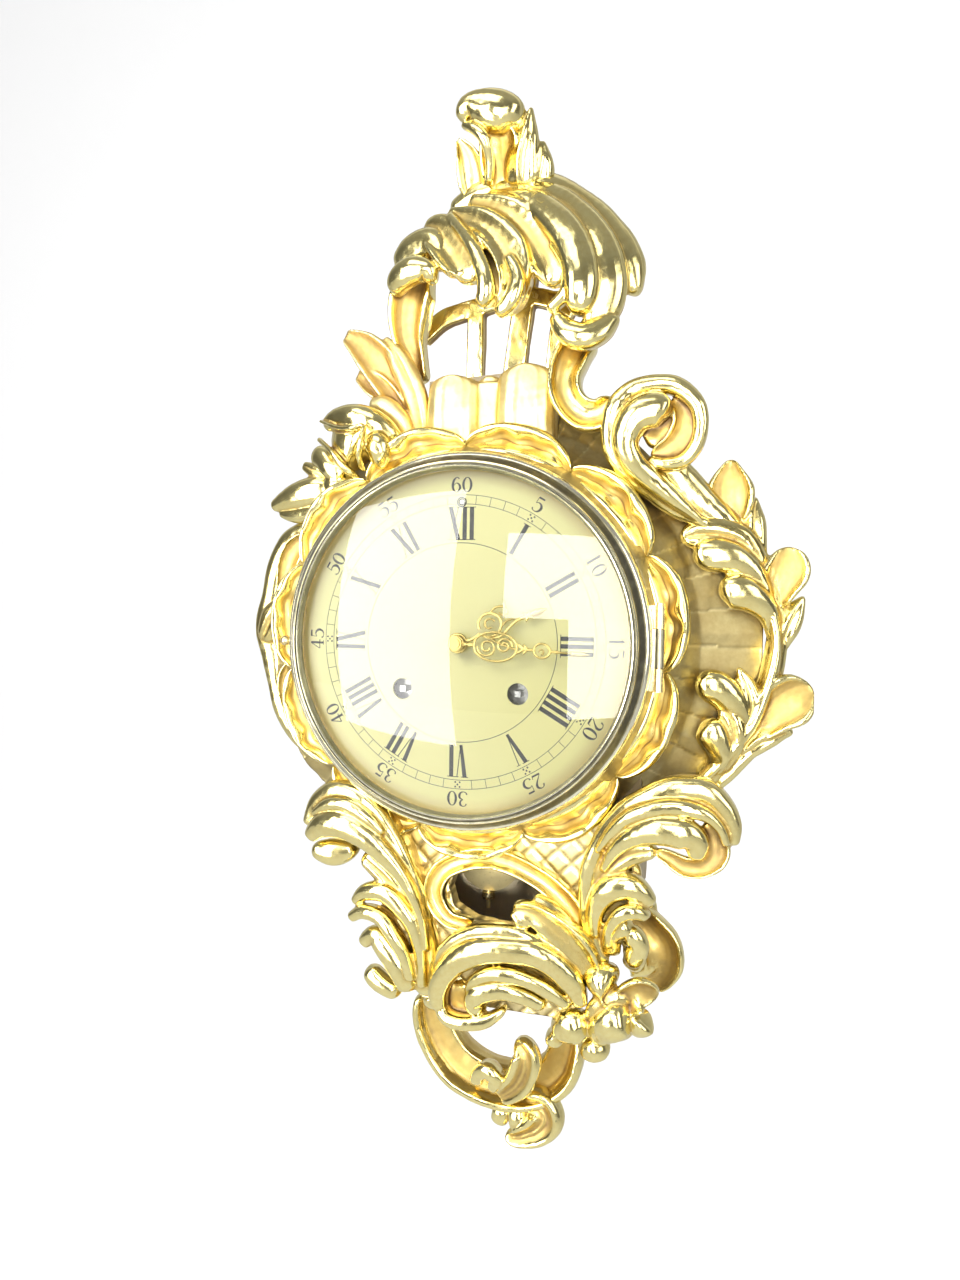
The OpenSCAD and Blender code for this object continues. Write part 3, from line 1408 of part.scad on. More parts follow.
module left_winding_arbor() {
    winding_arbor(strike_at);
}

module right_winding_arbor() {
    winding_arbor(going_at);
}

module regulator_arbor() {
    color(steel) {
        rod_at(0, regulator_z, back_plate_d - 6, arbor_r, dial_face_d - 0.3 - back_plate_d + 6);
        rod_at(0, regulator_z, back_plate_d - 6, 4, 2);
    }
}

module cannon_pinion() {
    color(steel) difference() {
        union() {
            toothed(centre_at, motion_d + 0.5, 3, cannon_leaves, cannon_module, cannon_phase);
            rod_at(0, 0, motion_d + 0.5, cannon_pipe_r,
                   dial_face_d + minute_hand_lift + hand_t - motion_d - 0.5);
        }
        rod_at(0, 0, motion_d, centre_tip_r + running_gap, 40);
    }
}

module minute_wheel() {
    color(brass) difference() {
        union() {
            toothed(minute_wheel_at, motion_d + 1, wheel_t, minute_wheel_teeth,
                    cannon_module, minute_wheel_phase);
            toothed(minute_wheel_at, motion_d + 2, 4, minute_leaves, hour_module,
                    minute_pinion_phase);
        }
        rod_at(minute_wheel_at[0], minute_wheel_at[1], motion_d, arbor_r + running_gap, 10);
    }
}

module hour_wheel() {
    color(brass) difference() {
        union() {
            toothed(centre_at, motion_d + 4.2, wheel_t, hour_wheel_teeth, hour_module,
                    hour_wheel_phase);
            rod_at(0, 0, motion_d + 4.2, hour_pipe_r,
                   dial_face_d + hour_hand_lift + hand_t - motion_d - 4.2);
        }
        rod_at(0, 0, motion_d, cannon_pipe_r + running_gap, 40);
    }
}

backboard();
rear_cover();
case_side();
ground_panel();
fluted_panel();
scallop_ring();
crest_finial();
hood();
trellis();
upper_scroll();
volute_scroll();
right_spray();
left_leaf();
flower_bud();
left_lower_leaf();
left_rim();
lower_left_scroll();
lower_right_scroll();
window_frame();
bottom_acanthus();
flower();
side_roll();
bottom_loop();
pendant_leaf();
hanger_plate();
case_screws();
dial_plate();
dial_ring();
hinge_pin();
front_plate();
back_plate();
plate_pillars();
movement_posts();
gong();
suspension_cock();
bezel();
glass();
glass_bead();
catch_knob();
minute_hand();
hand_nut();
cannon_pinion();
hour_hand();
hour_wheel();
minute_wheel();
going_barrel();
centre_wheel();
third_wheel();
escape_wheel();
anchor();
pendulum_rod();
bob();
rating_nut();
strike_barrel();
strike_wheel();
fly();
hammer();
left_winding_arbor();
right_winding_arbor();
regulator_arbor();
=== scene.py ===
import json
import math

import bmesh
import bpy
import numpy as np
from mathutils import Matrix, Vector
from mathutils.kdtree import KDTree


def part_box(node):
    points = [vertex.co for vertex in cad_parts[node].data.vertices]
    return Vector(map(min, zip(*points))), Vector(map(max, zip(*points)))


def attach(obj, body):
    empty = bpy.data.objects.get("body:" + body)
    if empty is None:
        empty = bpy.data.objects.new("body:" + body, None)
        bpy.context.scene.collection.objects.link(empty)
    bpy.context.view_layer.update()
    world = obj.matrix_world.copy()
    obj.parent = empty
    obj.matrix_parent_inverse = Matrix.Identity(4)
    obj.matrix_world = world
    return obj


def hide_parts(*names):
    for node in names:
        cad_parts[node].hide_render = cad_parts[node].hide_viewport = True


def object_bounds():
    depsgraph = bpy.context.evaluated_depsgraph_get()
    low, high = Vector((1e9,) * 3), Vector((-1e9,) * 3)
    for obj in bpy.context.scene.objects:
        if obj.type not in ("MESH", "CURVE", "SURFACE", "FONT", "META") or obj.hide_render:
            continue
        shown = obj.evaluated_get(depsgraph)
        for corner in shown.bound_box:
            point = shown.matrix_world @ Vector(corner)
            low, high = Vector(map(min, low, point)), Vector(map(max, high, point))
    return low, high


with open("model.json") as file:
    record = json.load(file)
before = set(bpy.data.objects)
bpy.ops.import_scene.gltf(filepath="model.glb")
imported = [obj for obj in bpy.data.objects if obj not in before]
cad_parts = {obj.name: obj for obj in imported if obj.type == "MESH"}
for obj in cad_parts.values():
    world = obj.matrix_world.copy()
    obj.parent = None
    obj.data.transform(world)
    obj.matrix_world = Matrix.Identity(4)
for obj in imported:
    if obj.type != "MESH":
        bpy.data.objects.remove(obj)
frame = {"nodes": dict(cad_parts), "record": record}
cad_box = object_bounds()
nodes = frame["nodes"]

MM = 0.001
TURN = 2 * math.pi
GROUND_D = -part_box("dial_ring")[1].y / MM
DIAL_FACE_D = -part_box("dial_plate")[0].y / MM
BEZEL_D = -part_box("bezel")[1].y / MM
BEZEL_R = 102.0
SIGHT_R = 91.6
HINGE_X = 105.2
HINGE_D = BEZEL_D + 1.2

# Steps of the surface grid of the carving, in metres
VOXEL = 0.0007
GROUND_VOXEL = 0.0012


# Materials

class Tree:
    """Short calls for building the nodes of a material or world."""

    def __init__(self, owner, output="ShaderNodeOutputMaterial"):
        owner.use_nodes = True
        self.owner = owner
        self.nodes = owner.node_tree.nodes
        self.links = owner.node_tree.links
        self.nodes.clear()
        self.out = self.add(output)

    def add(self, kind, **values):
        """New node, with values for its settings or, by their names, its inputs."""
        node = self.nodes.new(kind)
        for key, value in values.items():
            if hasattr(node, key):
                setattr(node, key, value)
            else:
                self.put(node.inputs[key.replace("_", " ")], value)
        return node

    def put(self, socket, value):
        if isinstance(value, bpy.types.NodeSocket):
            self.links.new(value, socket)
        else:
            socket.default_value = (*value, 1) if socket.type == "RGBA" else value

    def where(self):
        return self.add("ShaderNodeTexCoord").outputs["Object"]

    def noise(self, scale, detail=3.0, rough=0.55, vector=None):
        """Cloudy field, about 0.3 to 0.7. Its scale is in waves per metre."""
        return self.add("ShaderNodeTexNoise", Vector=vector or self.where(), Scale=scale,
                        Detail=detail, Roughness=rough).outputs["Fac"]

    def ramp(self, value, *stops):
        node = self.add("ShaderNodeValToRGB", Fac=value)
        elements = node.color_ramp.elements
        while len(elements) < len(stops):
            elements.new(0.5)
        for element, (place, colour) in zip(elements, stops):
            element.position = place
            element.color = (*colour, 1)
        return node.outputs["Color"]

    def level(self, value, low, high, to_low=0.0, to_high=1.0):
        return self.add("ShaderNodeMapRange", clamp=True, Value=value, From_Min=low,
                        From_Max=high, To_Min=to_low, To_Max=to_high).outputs["Result"]

    def pair(self, node, a, b):
        """First output of a node whose first two inputs are a and b."""
        self.put(node.inputs[0], a)
        self.put(node.inputs[1], b)
        return node.outputs[0]

    def math(self, how, a, b):
        return self.pair(self.add("ShaderNodeMath", operation=how), a, b)

    def mix(self, factor, a, b, blend="MIX"):
        node = self.add("ShaderNodeMix", data_type="RGBA", blend_type=blend)
        for socket, value in zip((0, 6, 7), (factor, a, b)):
            self.put(node.inputs[socket], value)
        return node.outputs[2]

    def bump(self, height, strength, distance):
        return self.add("ShaderNodeBump", Height=height, Strength=strength,
                        Distance=distance).outputs["Normal"]

    def shown(self, shader):
        """Puts the shader's output on the surface and returns the material."""
        self.links.new(shader, self.out.inputs["Surface"])
        return self.owner

    def surface(self, **values):
        return self.shown(self.add("ShaderNodeBsdfPrincipled", **values).outputs[0])


def new_tree(name):
    return Tree(bpy.data.materials.new(name))


def worn_places(t, cloud, uneven):
    """The number that the mesh stores for its painted light and shade, and patina on the bezel, a
    little uneven.
    """
    hollow = t.add("ShaderNodeAttribute", attribute_name="hollow").outputs["Fac"]
    return t.math("ADD", hollow, t.level(cloud, 0.3, 0.7, -uneven, uneven))


def gilt(name, colours, polish, dull, grain):
    """Gold leaf: bright and polished on raised parts, matt in hollows. Its colour darkens into the
    hollows and turns brown in the deepest, as painted shade.
    """
    bright, mid, deep, brown = colours
    t = new_tree(name)
    cloud, fine, speck = t.noise(55.0, 4.0), t.noise(420.0), t.noise(1500.0, 2.0)
    shade_level = worn_places(t, cloud, 0.08)
    # The colour darkens into the hollows and browns in the deepest as painted shade
    colour = t.ramp(shade_level, (0.0, bright), (0.36, mid), (0.62, deep), (0.93, brown))
    colour = t.mix(t.level(fine, 0.35, 0.75, 0.0, 0.22), colour, mid, "MULTIPLY")
    rough = t.level(shade_level, 0.3, 0.62, polish, dull)
    rough = t.math("ADD", rough, t.level(cloud, 0.35, 0.75, -0.02, 0.07))
    height = t.math("ADD", t.math("MULTIPLY", cloud, 0.35), t.math("MULTIPLY", fine, 0.1))
    height = t.math("ADD", height, t.math("MULTIPLY", speck, grain))
    return t.surface(Base_Color=colour, Metallic=1.0, Roughness=rough,
                     Normal=t.bump(height, 0.35, 0.0006))


def metal(name, colour, stain, rough, shine=1.0):
    """Plain metal with a stain in clouds and a fine unevenness."""
    t = new_tree(name)
    cloud, fine = t.noise(180.0, 4.0), t.noise(1260.0, 2.0)
    return t.surface(
        Base_Color=t.mix(t.level(cloud, 0.4, 0.75, 0.0, 0.35), colour, stain),
        Metallic=shine,
        Roughness=t.level(fine, 0.3, 0.7, rough * 0.8, rough * 1.3),
        Normal=t.bump(fine, 0.08, 0.0003),
    )


def old_brass():
    """Brass whose grooves hold dark patina; its palest colour is a painted reflection."""
    t = new_tree("bezel_brass")
    shade_level = worn_places(t, t.noise(160.0, 4.0), 0.12)
    # The pale first stop is a painted reflection, the dark last one patina
    return t.surface(
        Base_Color=t.ramp(shade_level, (0.0, (0.92, 0.88, 0.68)), (0.4, (0.46, 0.43, 0.31)),
                          (1.0, (0.13, 0.12, 0.085))),
        Metallic=1.0,
        Roughness=t.level(shade_level, 0.0, 1.0, 0.16, 0.42),
        Normal=t.bump(t.noise(900.0, 2.0), 0.1, 0.0003),
    )


def case_wood():
    """Brown wood with its grain upright."""
    t = new_tree("case_wood")
    place = t.add("ShaderNodeMapping", vector_type="POINT", Vector=t.where(),
                  Scale=(1.0, 1.0, 0.12)).outputs["Vector"]
    grain, figure = t.noise(160.0, 6.0, 0.6, place), t.noise(22.0, 3.0, 0.5, place)
    colour = t.ramp(grain, (0.3, (0.38, 0.31, 0.19)), (0.62, (0.56, 0.47, 0.30)))
    return t.surface(
        Base_Color=t.mix(t.level(figure, 0.35, 0.7), colour, (0.48, 0.39, 0.24)),
        Roughness=t.level(grain, 0.3, 0.7, 0.55, 0.75),
        Normal=t.bump(grain, 0.3, 0.0004),
    )


def dial_paint():
    """Yellow paint, darker and browner towards the dial's edge as painted shade from the bezel,
    and browner in fine specks.
    """
    t = new_tree("dial_paint")
    cloud, speck = t.noise(16.0), t.noise(700.0, 2.0)
    flat = t.add("ShaderNodeVectorMath", operation="MULTIPLY")
    flat = t.pair(flat, t.where(), (1, 0, 1))
    reach = t.add("ShaderNodeVectorMath", operation="LENGTH")
    t.put(reach.inputs[0], flat)
    colour = t.mix(t.level(cloud, 0.3, 0.75), (0.97, 0.90, 0.37), (0.98, 0.93, 0.42))
    # Painted shade from the bezel over the dial's edge
    edge = t.level(reach.outputs["Value"], 0.084, 0.094)
    colour = t.mix(edge, colour, (0.80, 0.62, 0.24))
    colour = t.mix(t.level(speck, 0.62, 0.8, 0.0, 0.2), colour, (0.78, 0.66, 0.28))
    return t.surface(
        Base_Color=colour,
        Roughness=t.level(speck, 0.3, 0.7, 0.32, 0.42),
        Normal=t.bump(speck, 0.05, 0.0002),
    )


def print_ink():
    """Black ink, thinner in fine specks."""
    t = new_tree("dial_print")
    speck = t.noise(900.0, 2.0)
    return t.surface(
        Base_Color=t.mix(t.level(speck, 0.4, 0.7), (0.018, 0.017, 0.014), (0.045, 0.04, 0.03)),
        Roughness=t.level(speck, 0.3, 0.7, 0.35, 0.5),
    )


def clear_glass():
    """Clear pane that reflects on its outer side, a little smeared."""
    t = new_tree("glass")
    smear = t.level(t.noise(30.0), 0.3, 0.8, 0.0, 0.03)
    clear = t.add("ShaderNodeBsdfTransparent", Color=(0.985, 0.99, 0.985))
    shine = t.add("ShaderNodeBsdfGlossy", Color=(1, 1, 1), Roughness=smear)
    fresnel = t.add("ShaderNodeFresnel", IOR=1.5).outputs["Fac"]
    outer = t.math("SUBTRACT", 1.0, t.add("ShaderNodeNewGeometry").outputs["Backfacing"])
    both = t.add("ShaderNodeMixShader", Fac=t.math("MULTIPLY", fresnel, outer))
    t.links.new(clear.outputs[0], both.inputs[1])
    t.links.new(shine.outputs[0], both.inputs[2])
    return t.shown(both.outputs[0])


burnished = gilt("burnished_gilt", (
    (0.88, 0.78, 0.37), (0.77, 0.62, 0.24), (0.60, 0.435, 0.145), (0.26, 0.17, 0.085),
), 0.16, 0.46, 0.04)
satin = gilt("satin_gilt", (
    (0.88, 0.74, 0.36), (0.74, 0.56, 0.22), (0.60, 0.42, 0.15), (0.30, 0.19, 0.08),
), 0.4, 0.52, 0.08)
# A darker copy of the gilding, painted as the shade that the ground lies in
ground = gilt("ground_gilt_in_painted_shade", (
    (0.76, 0.64, 0.33), (0.42, 0.345, 0.16), (0.34, 0.26, 0.11), (0.19, 0.13, 0.06),
), 0.4, 0.54, 0.08)
brass = metal("brass", (0.84, 0.70, 0.38), (0.55, 0.42, 0.2), 0.24)
gilt_brass = metal("gilt_brass", (0.44, 0.34, 0.12), (0.26, 0.18, 0.06), 0.34)
steel = metal("steel", (0.36, 0.355, 0.34), (0.22, 0.21, 0.19), 0.32)
bezel_brass = old_brass()
bob_brass = metal("bob_brass", (0.80, 0.68, 0.34), (0.62, 0.5, 0.24), 0.34, shine=0.6)
wood = case_wood()
paint = dial_paint()
ink = print_ink()
glass = clear_glass()

# Every CAD node gets the material of its slot in the record
SLOTS = {
    "case_wood": wood, "satin_gilt": satin, "burnished_gilt": burnished, "steel": steel,
    "dial_paint": paint, "brass": brass, "glass": glass, "gilt_brass": gilt_brass,
}
for part in frame["record"]["subparts"]:
    data = nodes[part["node"]].data
    data.materials.clear()
    data.materials.append(SLOTS[part["material_slot"]])
for node in ("bob", "pendulum_rod"):
    nodes[node].data.materials[0] = bob_brass


# Mesh helpers

SMOOTH_ANGLE = math.radians(35)


def table(text, width):
    """Rows of as many numbers, written with a comma between rows."""
    return np.array(text.replace(",", " ").split(), float).reshape(-1, width)


def linked(name, data):
    """New object in the scene."""
    obj = bpy.data.objects.new(name, data)
    bpy.context.scene.collection.objects.link(obj)
    return obj


def smooth(mesh):
    mesh.polygons.foreach_set("use_smooth", [True] * len(mesh.polygons))


def mesh_object(name, points, faces, material):
    """Object from points in metres and faces."""
    mesh = bpy.data.meshes.new(name)
    mesh.from_pydata([tuple(p) for p in points], [], faces)
    mesh.validate()
    obj = linked(name, mesh)
    mesh.materials.append(material)
    smooth(mesh)
    mesh.set_sharp_from_angle(angle=SMOOTH_ANGLE)
    return obj


def modified(obj, kind, **values):
    """Puts one modifier on the object, applies it and returns the object."""
    step = obj.modifiers.new(kind, kind)
    for key, value in values.items():
        setattr(step, key, value)
    graph = bpy.context.evaluated_depsgraph_get()
    mesh = bpy.data.meshes.new_from_object(obj.evaluated_get(graph))
    old = obj.data
    obj.modifiers.clear()
    obj.data = mesh
    bpy.data.meshes.remove(old)
    return obj


def blended(obj, size):
    """Melts overlapping closed forms into one surface on a fine grid."""
    return modified(obj, "REMESH", mode="VOXEL", voxel_size=size)


def read(items, field, width=3, kind=float):
    values = np.empty(len(items) * width, dtype=kind)
    items.foreach_get(field, values)
    return values.reshape(-1, width)


def coordinates(mesh):
    return read(mesh.vertices, "co")


def vertex_normals(mesh):
    return read(mesh.vertex_normals, "vector")


def edge_pairs(mesh):
    return read(mesh.edges, "vertices", 2, np.int64)


def move(mesh, points):
    mesh.vertices.foreach_set("co", points.ravel())
    mesh.update()


def relaxed(points, pairs, rounds, share=0.5):
    """Points moved towards the mean of their neighbours, several times."""
    count = np.bincount(pairs.ravel(), minlength=len(points))[:, None]
    points = points.copy()
    for _ in range(rounds):
        total = np.empty_like(points)
        for axis in range(3):
            total[:, axis] = (
                np.bincount(pairs[:, 0], points[pairs[:, 1], axis], len(points))
                + np.bincount(pairs[:, 1], points[pairs[:, 0], axis], len(points))
            )
        points += share * (total / count - points)
    return points


def store_hollow(mesh, values):
    """Keeps a number for each point, which the materials paint as light and shade, and on the
    bezel as patina too.
    """
    layer = mesh.attributes.get("hollow") or mesh.attributes.new("hollow", "FLOAT", "POINT")
    layer.data.foreach_set("value", values.astype(np.float32))


def waves(points, size, seed):
    """Soft irregular field over points, about -1 to 1, from a few plane waves."""
    random = np.random.default_rng(seed)
    field = np.zeros(len(points))
    for _ in range(9):
        way = random.normal(size=3)
        way *= TURN / size / np.linalg.norm(way) * random.uniform(0.6, 1.4)
        field += np.sin(points @ way + random.uniform(0, TURN))
    return field / 4.5


def worn_hollows(mesh, fine=0.00012, broad=0.0009, rounds=(5, 60), matt=0.0):
    """Stores how far each point lies in a hollow, 0 on a ridge and 1 deep down, which the gilding
    paints as shade.
    """
    points, pairs, normals = coordinates(mesh), edge_pairs(mesh), vertex_normals(mesh)
    near = relaxed(points, pairs, rounds[0])
    far = relaxed(near, pairs, rounds[1])
    sharp = np.einsum("ij,ij->i", near - points, normals) / fine
    wide = np.einsum("ij,ij->i", far - points, normals) / broad
    value = 0.2 + 0.14 * np.clip(sharp, -1.5, 2) + 0.26 * np.clip(wide, -1.2, 2) + 0.36 * matt
    store_hollow(mesh, np.clip(value, 0, 1))


def tube_faces(rings, n):
    """Faces of a tube of rings of n points, closed at both ends."""
    faces = []
    for i in range(rings - 1):
        for k in range(n):
            a, b = i * n + k, i * n + (k + 1) % n
            faces.append((a, b, b + n, a + n))
    faces.append(tuple(range(n - 1, -1, -1)))
    faces.append(tuple((rings - 1) * n + k for k in range(n)))
    return faces


def turned_faces(steps, n, closed=True):
    """Faces between sections of n points, placed in steps all round an axis."""
    faces = []
    for i in range(steps):
        j = (i + 1) % steps
        for k in range(n if closed else n - 1):
            m = (k + 1) % n
            faces.append((i * n + k, i * n + m, j * n + m, j * n + k))
    return faces


def lathe(name, section, material, steps=256):
    """Turned piece about the depth axis from points of radius and depth."""
    points = []
    for i in range(steps):
        a = TURN * i / steps
        points += [(r * math.cos(a) * MM, -d * MM, r * math.sin(a) * MM) for r, d in section]
    return mesh_object(name, points, turned_faces(steps, len(section)), material)


def joined(parts):
    """Points and faces of several parts as one."""
    points, faces, base = [], [], 0
    for p, f in parts:
        points.append(p)
        faces += [tuple(i + base for i in face) for face in f]
        base += len(p)
    return np.vstack(points), faces


def smooth_rows(rows, steps=10):
    """Rows filled in along a smooth curve through them."""
    rows = np.array(rows, float)
    out = []
    for i in range(len(rows) - 1):
        a, b = rows[max(i - 1, 0)], rows[i]
        c, d = rows[i + 1], rows[min(i + 2, len(rows) - 1)]
        for k in range(steps):
            t = k / steps
            out.append(0.5 * (2 * b + (c - a) * t + (2 * a - 5 * b + 4 * c - d) * t * t
                              + (3 * b - a - 3 * c + d) * t ** 3))
    out.append(rows[-1])
    return np.array(out)


def directions(rows):
    """Unit vectors along rows that start with x and z."""
    way = np.gradient(rows[:, :2], axis=0)
    return way / np.maximum(np.linalg.norm(way, axis=1), 1e-9)[:, None]


# The carving

def profile(text, mirrored=False):
    """Points of place across, -1 to 1, and height from the back, 0, to the front, 1.

    They run up the left side of the route, seen from the front, and down its right side. A
    mirrored profile gives its left half only.
    """
    points = [tuple(point) for point in table(text, 2)]
    if mirrored:
        points += [(-u, h) for u, h in reversed(points) if u]
    return points


PROFILES = {
    # Rounded lobe
    "LOBE": profile("""
        0.3 0, 0.78 0.16, 1 0.4, 0.97 0.58, 0.86 0.74, 0.68 0.87, 0.42 0.96, 0.12 1, -0.16 0.995,
        -0.44 0.955, -0.7 0.86, -0.87 0.73, -0.97 0.57, -1 0.4, -0.78 0.16, -0.3 0"""),
    # Two humps beside a shallow vein
    "LEAF": profile("""
        0.3 0, 0.8 0.22, 1 0.46, 0.99 0.66, 0.9 0.86, 0.78 0.97, 0.66 1, 0.52 0.96, 0.34 0.84,
        0.14 0.76, 0.04 0.78, 0 0.82, -0.05 0.78, -0.16 0.76, -0.36 0.84, -0.54 0.96, -0.68 1,
        -0.8 0.97, -0.91 0.86, -0.99 0.66, -1 0.46, -0.8 0.22, -0.3 0"""),
    # Rounded leaf with a crisp keel a little to one side
    "KEEL": profile("""
        0.3 0, 0.8 0.2, 1 0.42, 0.97 0.55, 0.85 0.68, 0.66 0.78, 0.45 0.86, 0.28 0.93, 0.17 1,
        0.1 0.99, 0.03 0.9, -0.1 0.84, -0.3 0.84, -0.52 0.86, -0.72 0.82, -0.88 0.7, -0.97 0.56,
        -1 0.42, -0.8 0.2, -0.3 0"""),
    # A shallow hollow inside a thin rolled rim
    "SPOON": profile("""
        0.3 0, 0.8 0.3, 1 0.62, 1 0.82, 0.94 0.96, 0.86 1, 0.77 0.95, 0.64 0.82, 0.42 0.72, 0.14
        0.67""", mirrored=True),
    # Two rolled rims beside a deep hollow
    "GUTTER": profile("""
        0.3 0, 0.85 0.14, 1 0.4, 1.02 0.66, 1 0.86, 0.94 0.97, 0.85 1, 0.75 0.97, 0.67 0.88, 0.56
        0.75, 0.38 0.64, 0.15 0.59""", mirrored=True),
    # Rounded band, fuller on its right side
    "ROLL": profile("""
        0.3 0, 0.8 0.15, 1 0.4, 0.95 0.56, 0.8 0.72, 0.5 0.86, 0.1 0.96, -0.3 1, -0.6 0.97, -0.82
        0.86, -0.95 0.66, -1 0.4, -0.8 0.15, -0.3 0"""),
    # Broad shallow hollow with a ridge on its right side
    "SHELL": profile("""
        0.3 0, 0.9 0.15, 1 0.4, 0.98 0.6, 0.85 0.74, 0.6 0.78, 0.3 0.74, 0 0.72, -0.3 0.75, -0.55
        0.84, -0.72 0.95, -0.82 1, -0.9 0.97, -0.97 0.86, -1 0.6, -0.95 0.3, -0.3 0"""),
    # Plain back of the carving, a little hollow
    "DISH": profile("""
        0.3 0, 0.9 0.2, 1 0.5, 0.9 0.8, 0.6 0.78, 0.2 0.73""", mirrored=True),
    # Matt leaf with a shallow vein
    "LEAFLET": profile("""
        0.3 0, 0.85 0.25, 1 0.55, 0.95 0.75, 0.7 0.91, 0.35 0.97, 0.1 0.92, 0 0.85, -0.1 0.92,
        -0.35 0.99, -0.7 0.93, -0.95 0.77, -1 0.55, -0.85 0.25, -0.3 0"""),
    # Plain rounded rib
    "RIB": profile("""
        0.3 0, 0.9 0.2, 1 0.45, 0.85 0.75, 0.5 0.95, 0 1""", mirrored=True),
    # Bright outer rim on the right beside a wide inner side that lies deep
    "RIM": profile("""
        0.3 0, 0.85 0.05, 1 0.2, 1 0.34, 0.9 0.42, 0.5 0.46, 0.1 0.5, -0.2 0.56, -0.35 0.68,
        -0.45 0.86, -0.55 0.97, -0.68 1, -0.82 0.96, -0.94 0.84, -1 0.62, -1 0.35, -0.85 0.1,
        -0.3 0"""),
    # Flat bar with small chamfers
    "BAR": profile("""
        0.5 0, 0.94 0, 1 0.08, 1 0.9, 0.93 0.99, 0.6 1""", mirrored=True),
    # Broad flute cut in a few flat planes
    "FLUTE": profile("""
        0.3 0, 0.9 0.1, 1 0.35, 0.98 0.6, 0.86 0.8, 0.6 0.95, 0.34 1, 0.28 0.955, 0.1 0.975,
        -0.14 0.985, -0.4 0.97, -0.5 0.93, -0.72 0.86, -0.9 0.7, -0.98 0.5, -1 0.35, -0.9 0.1,
        -0.3 0"""),
}

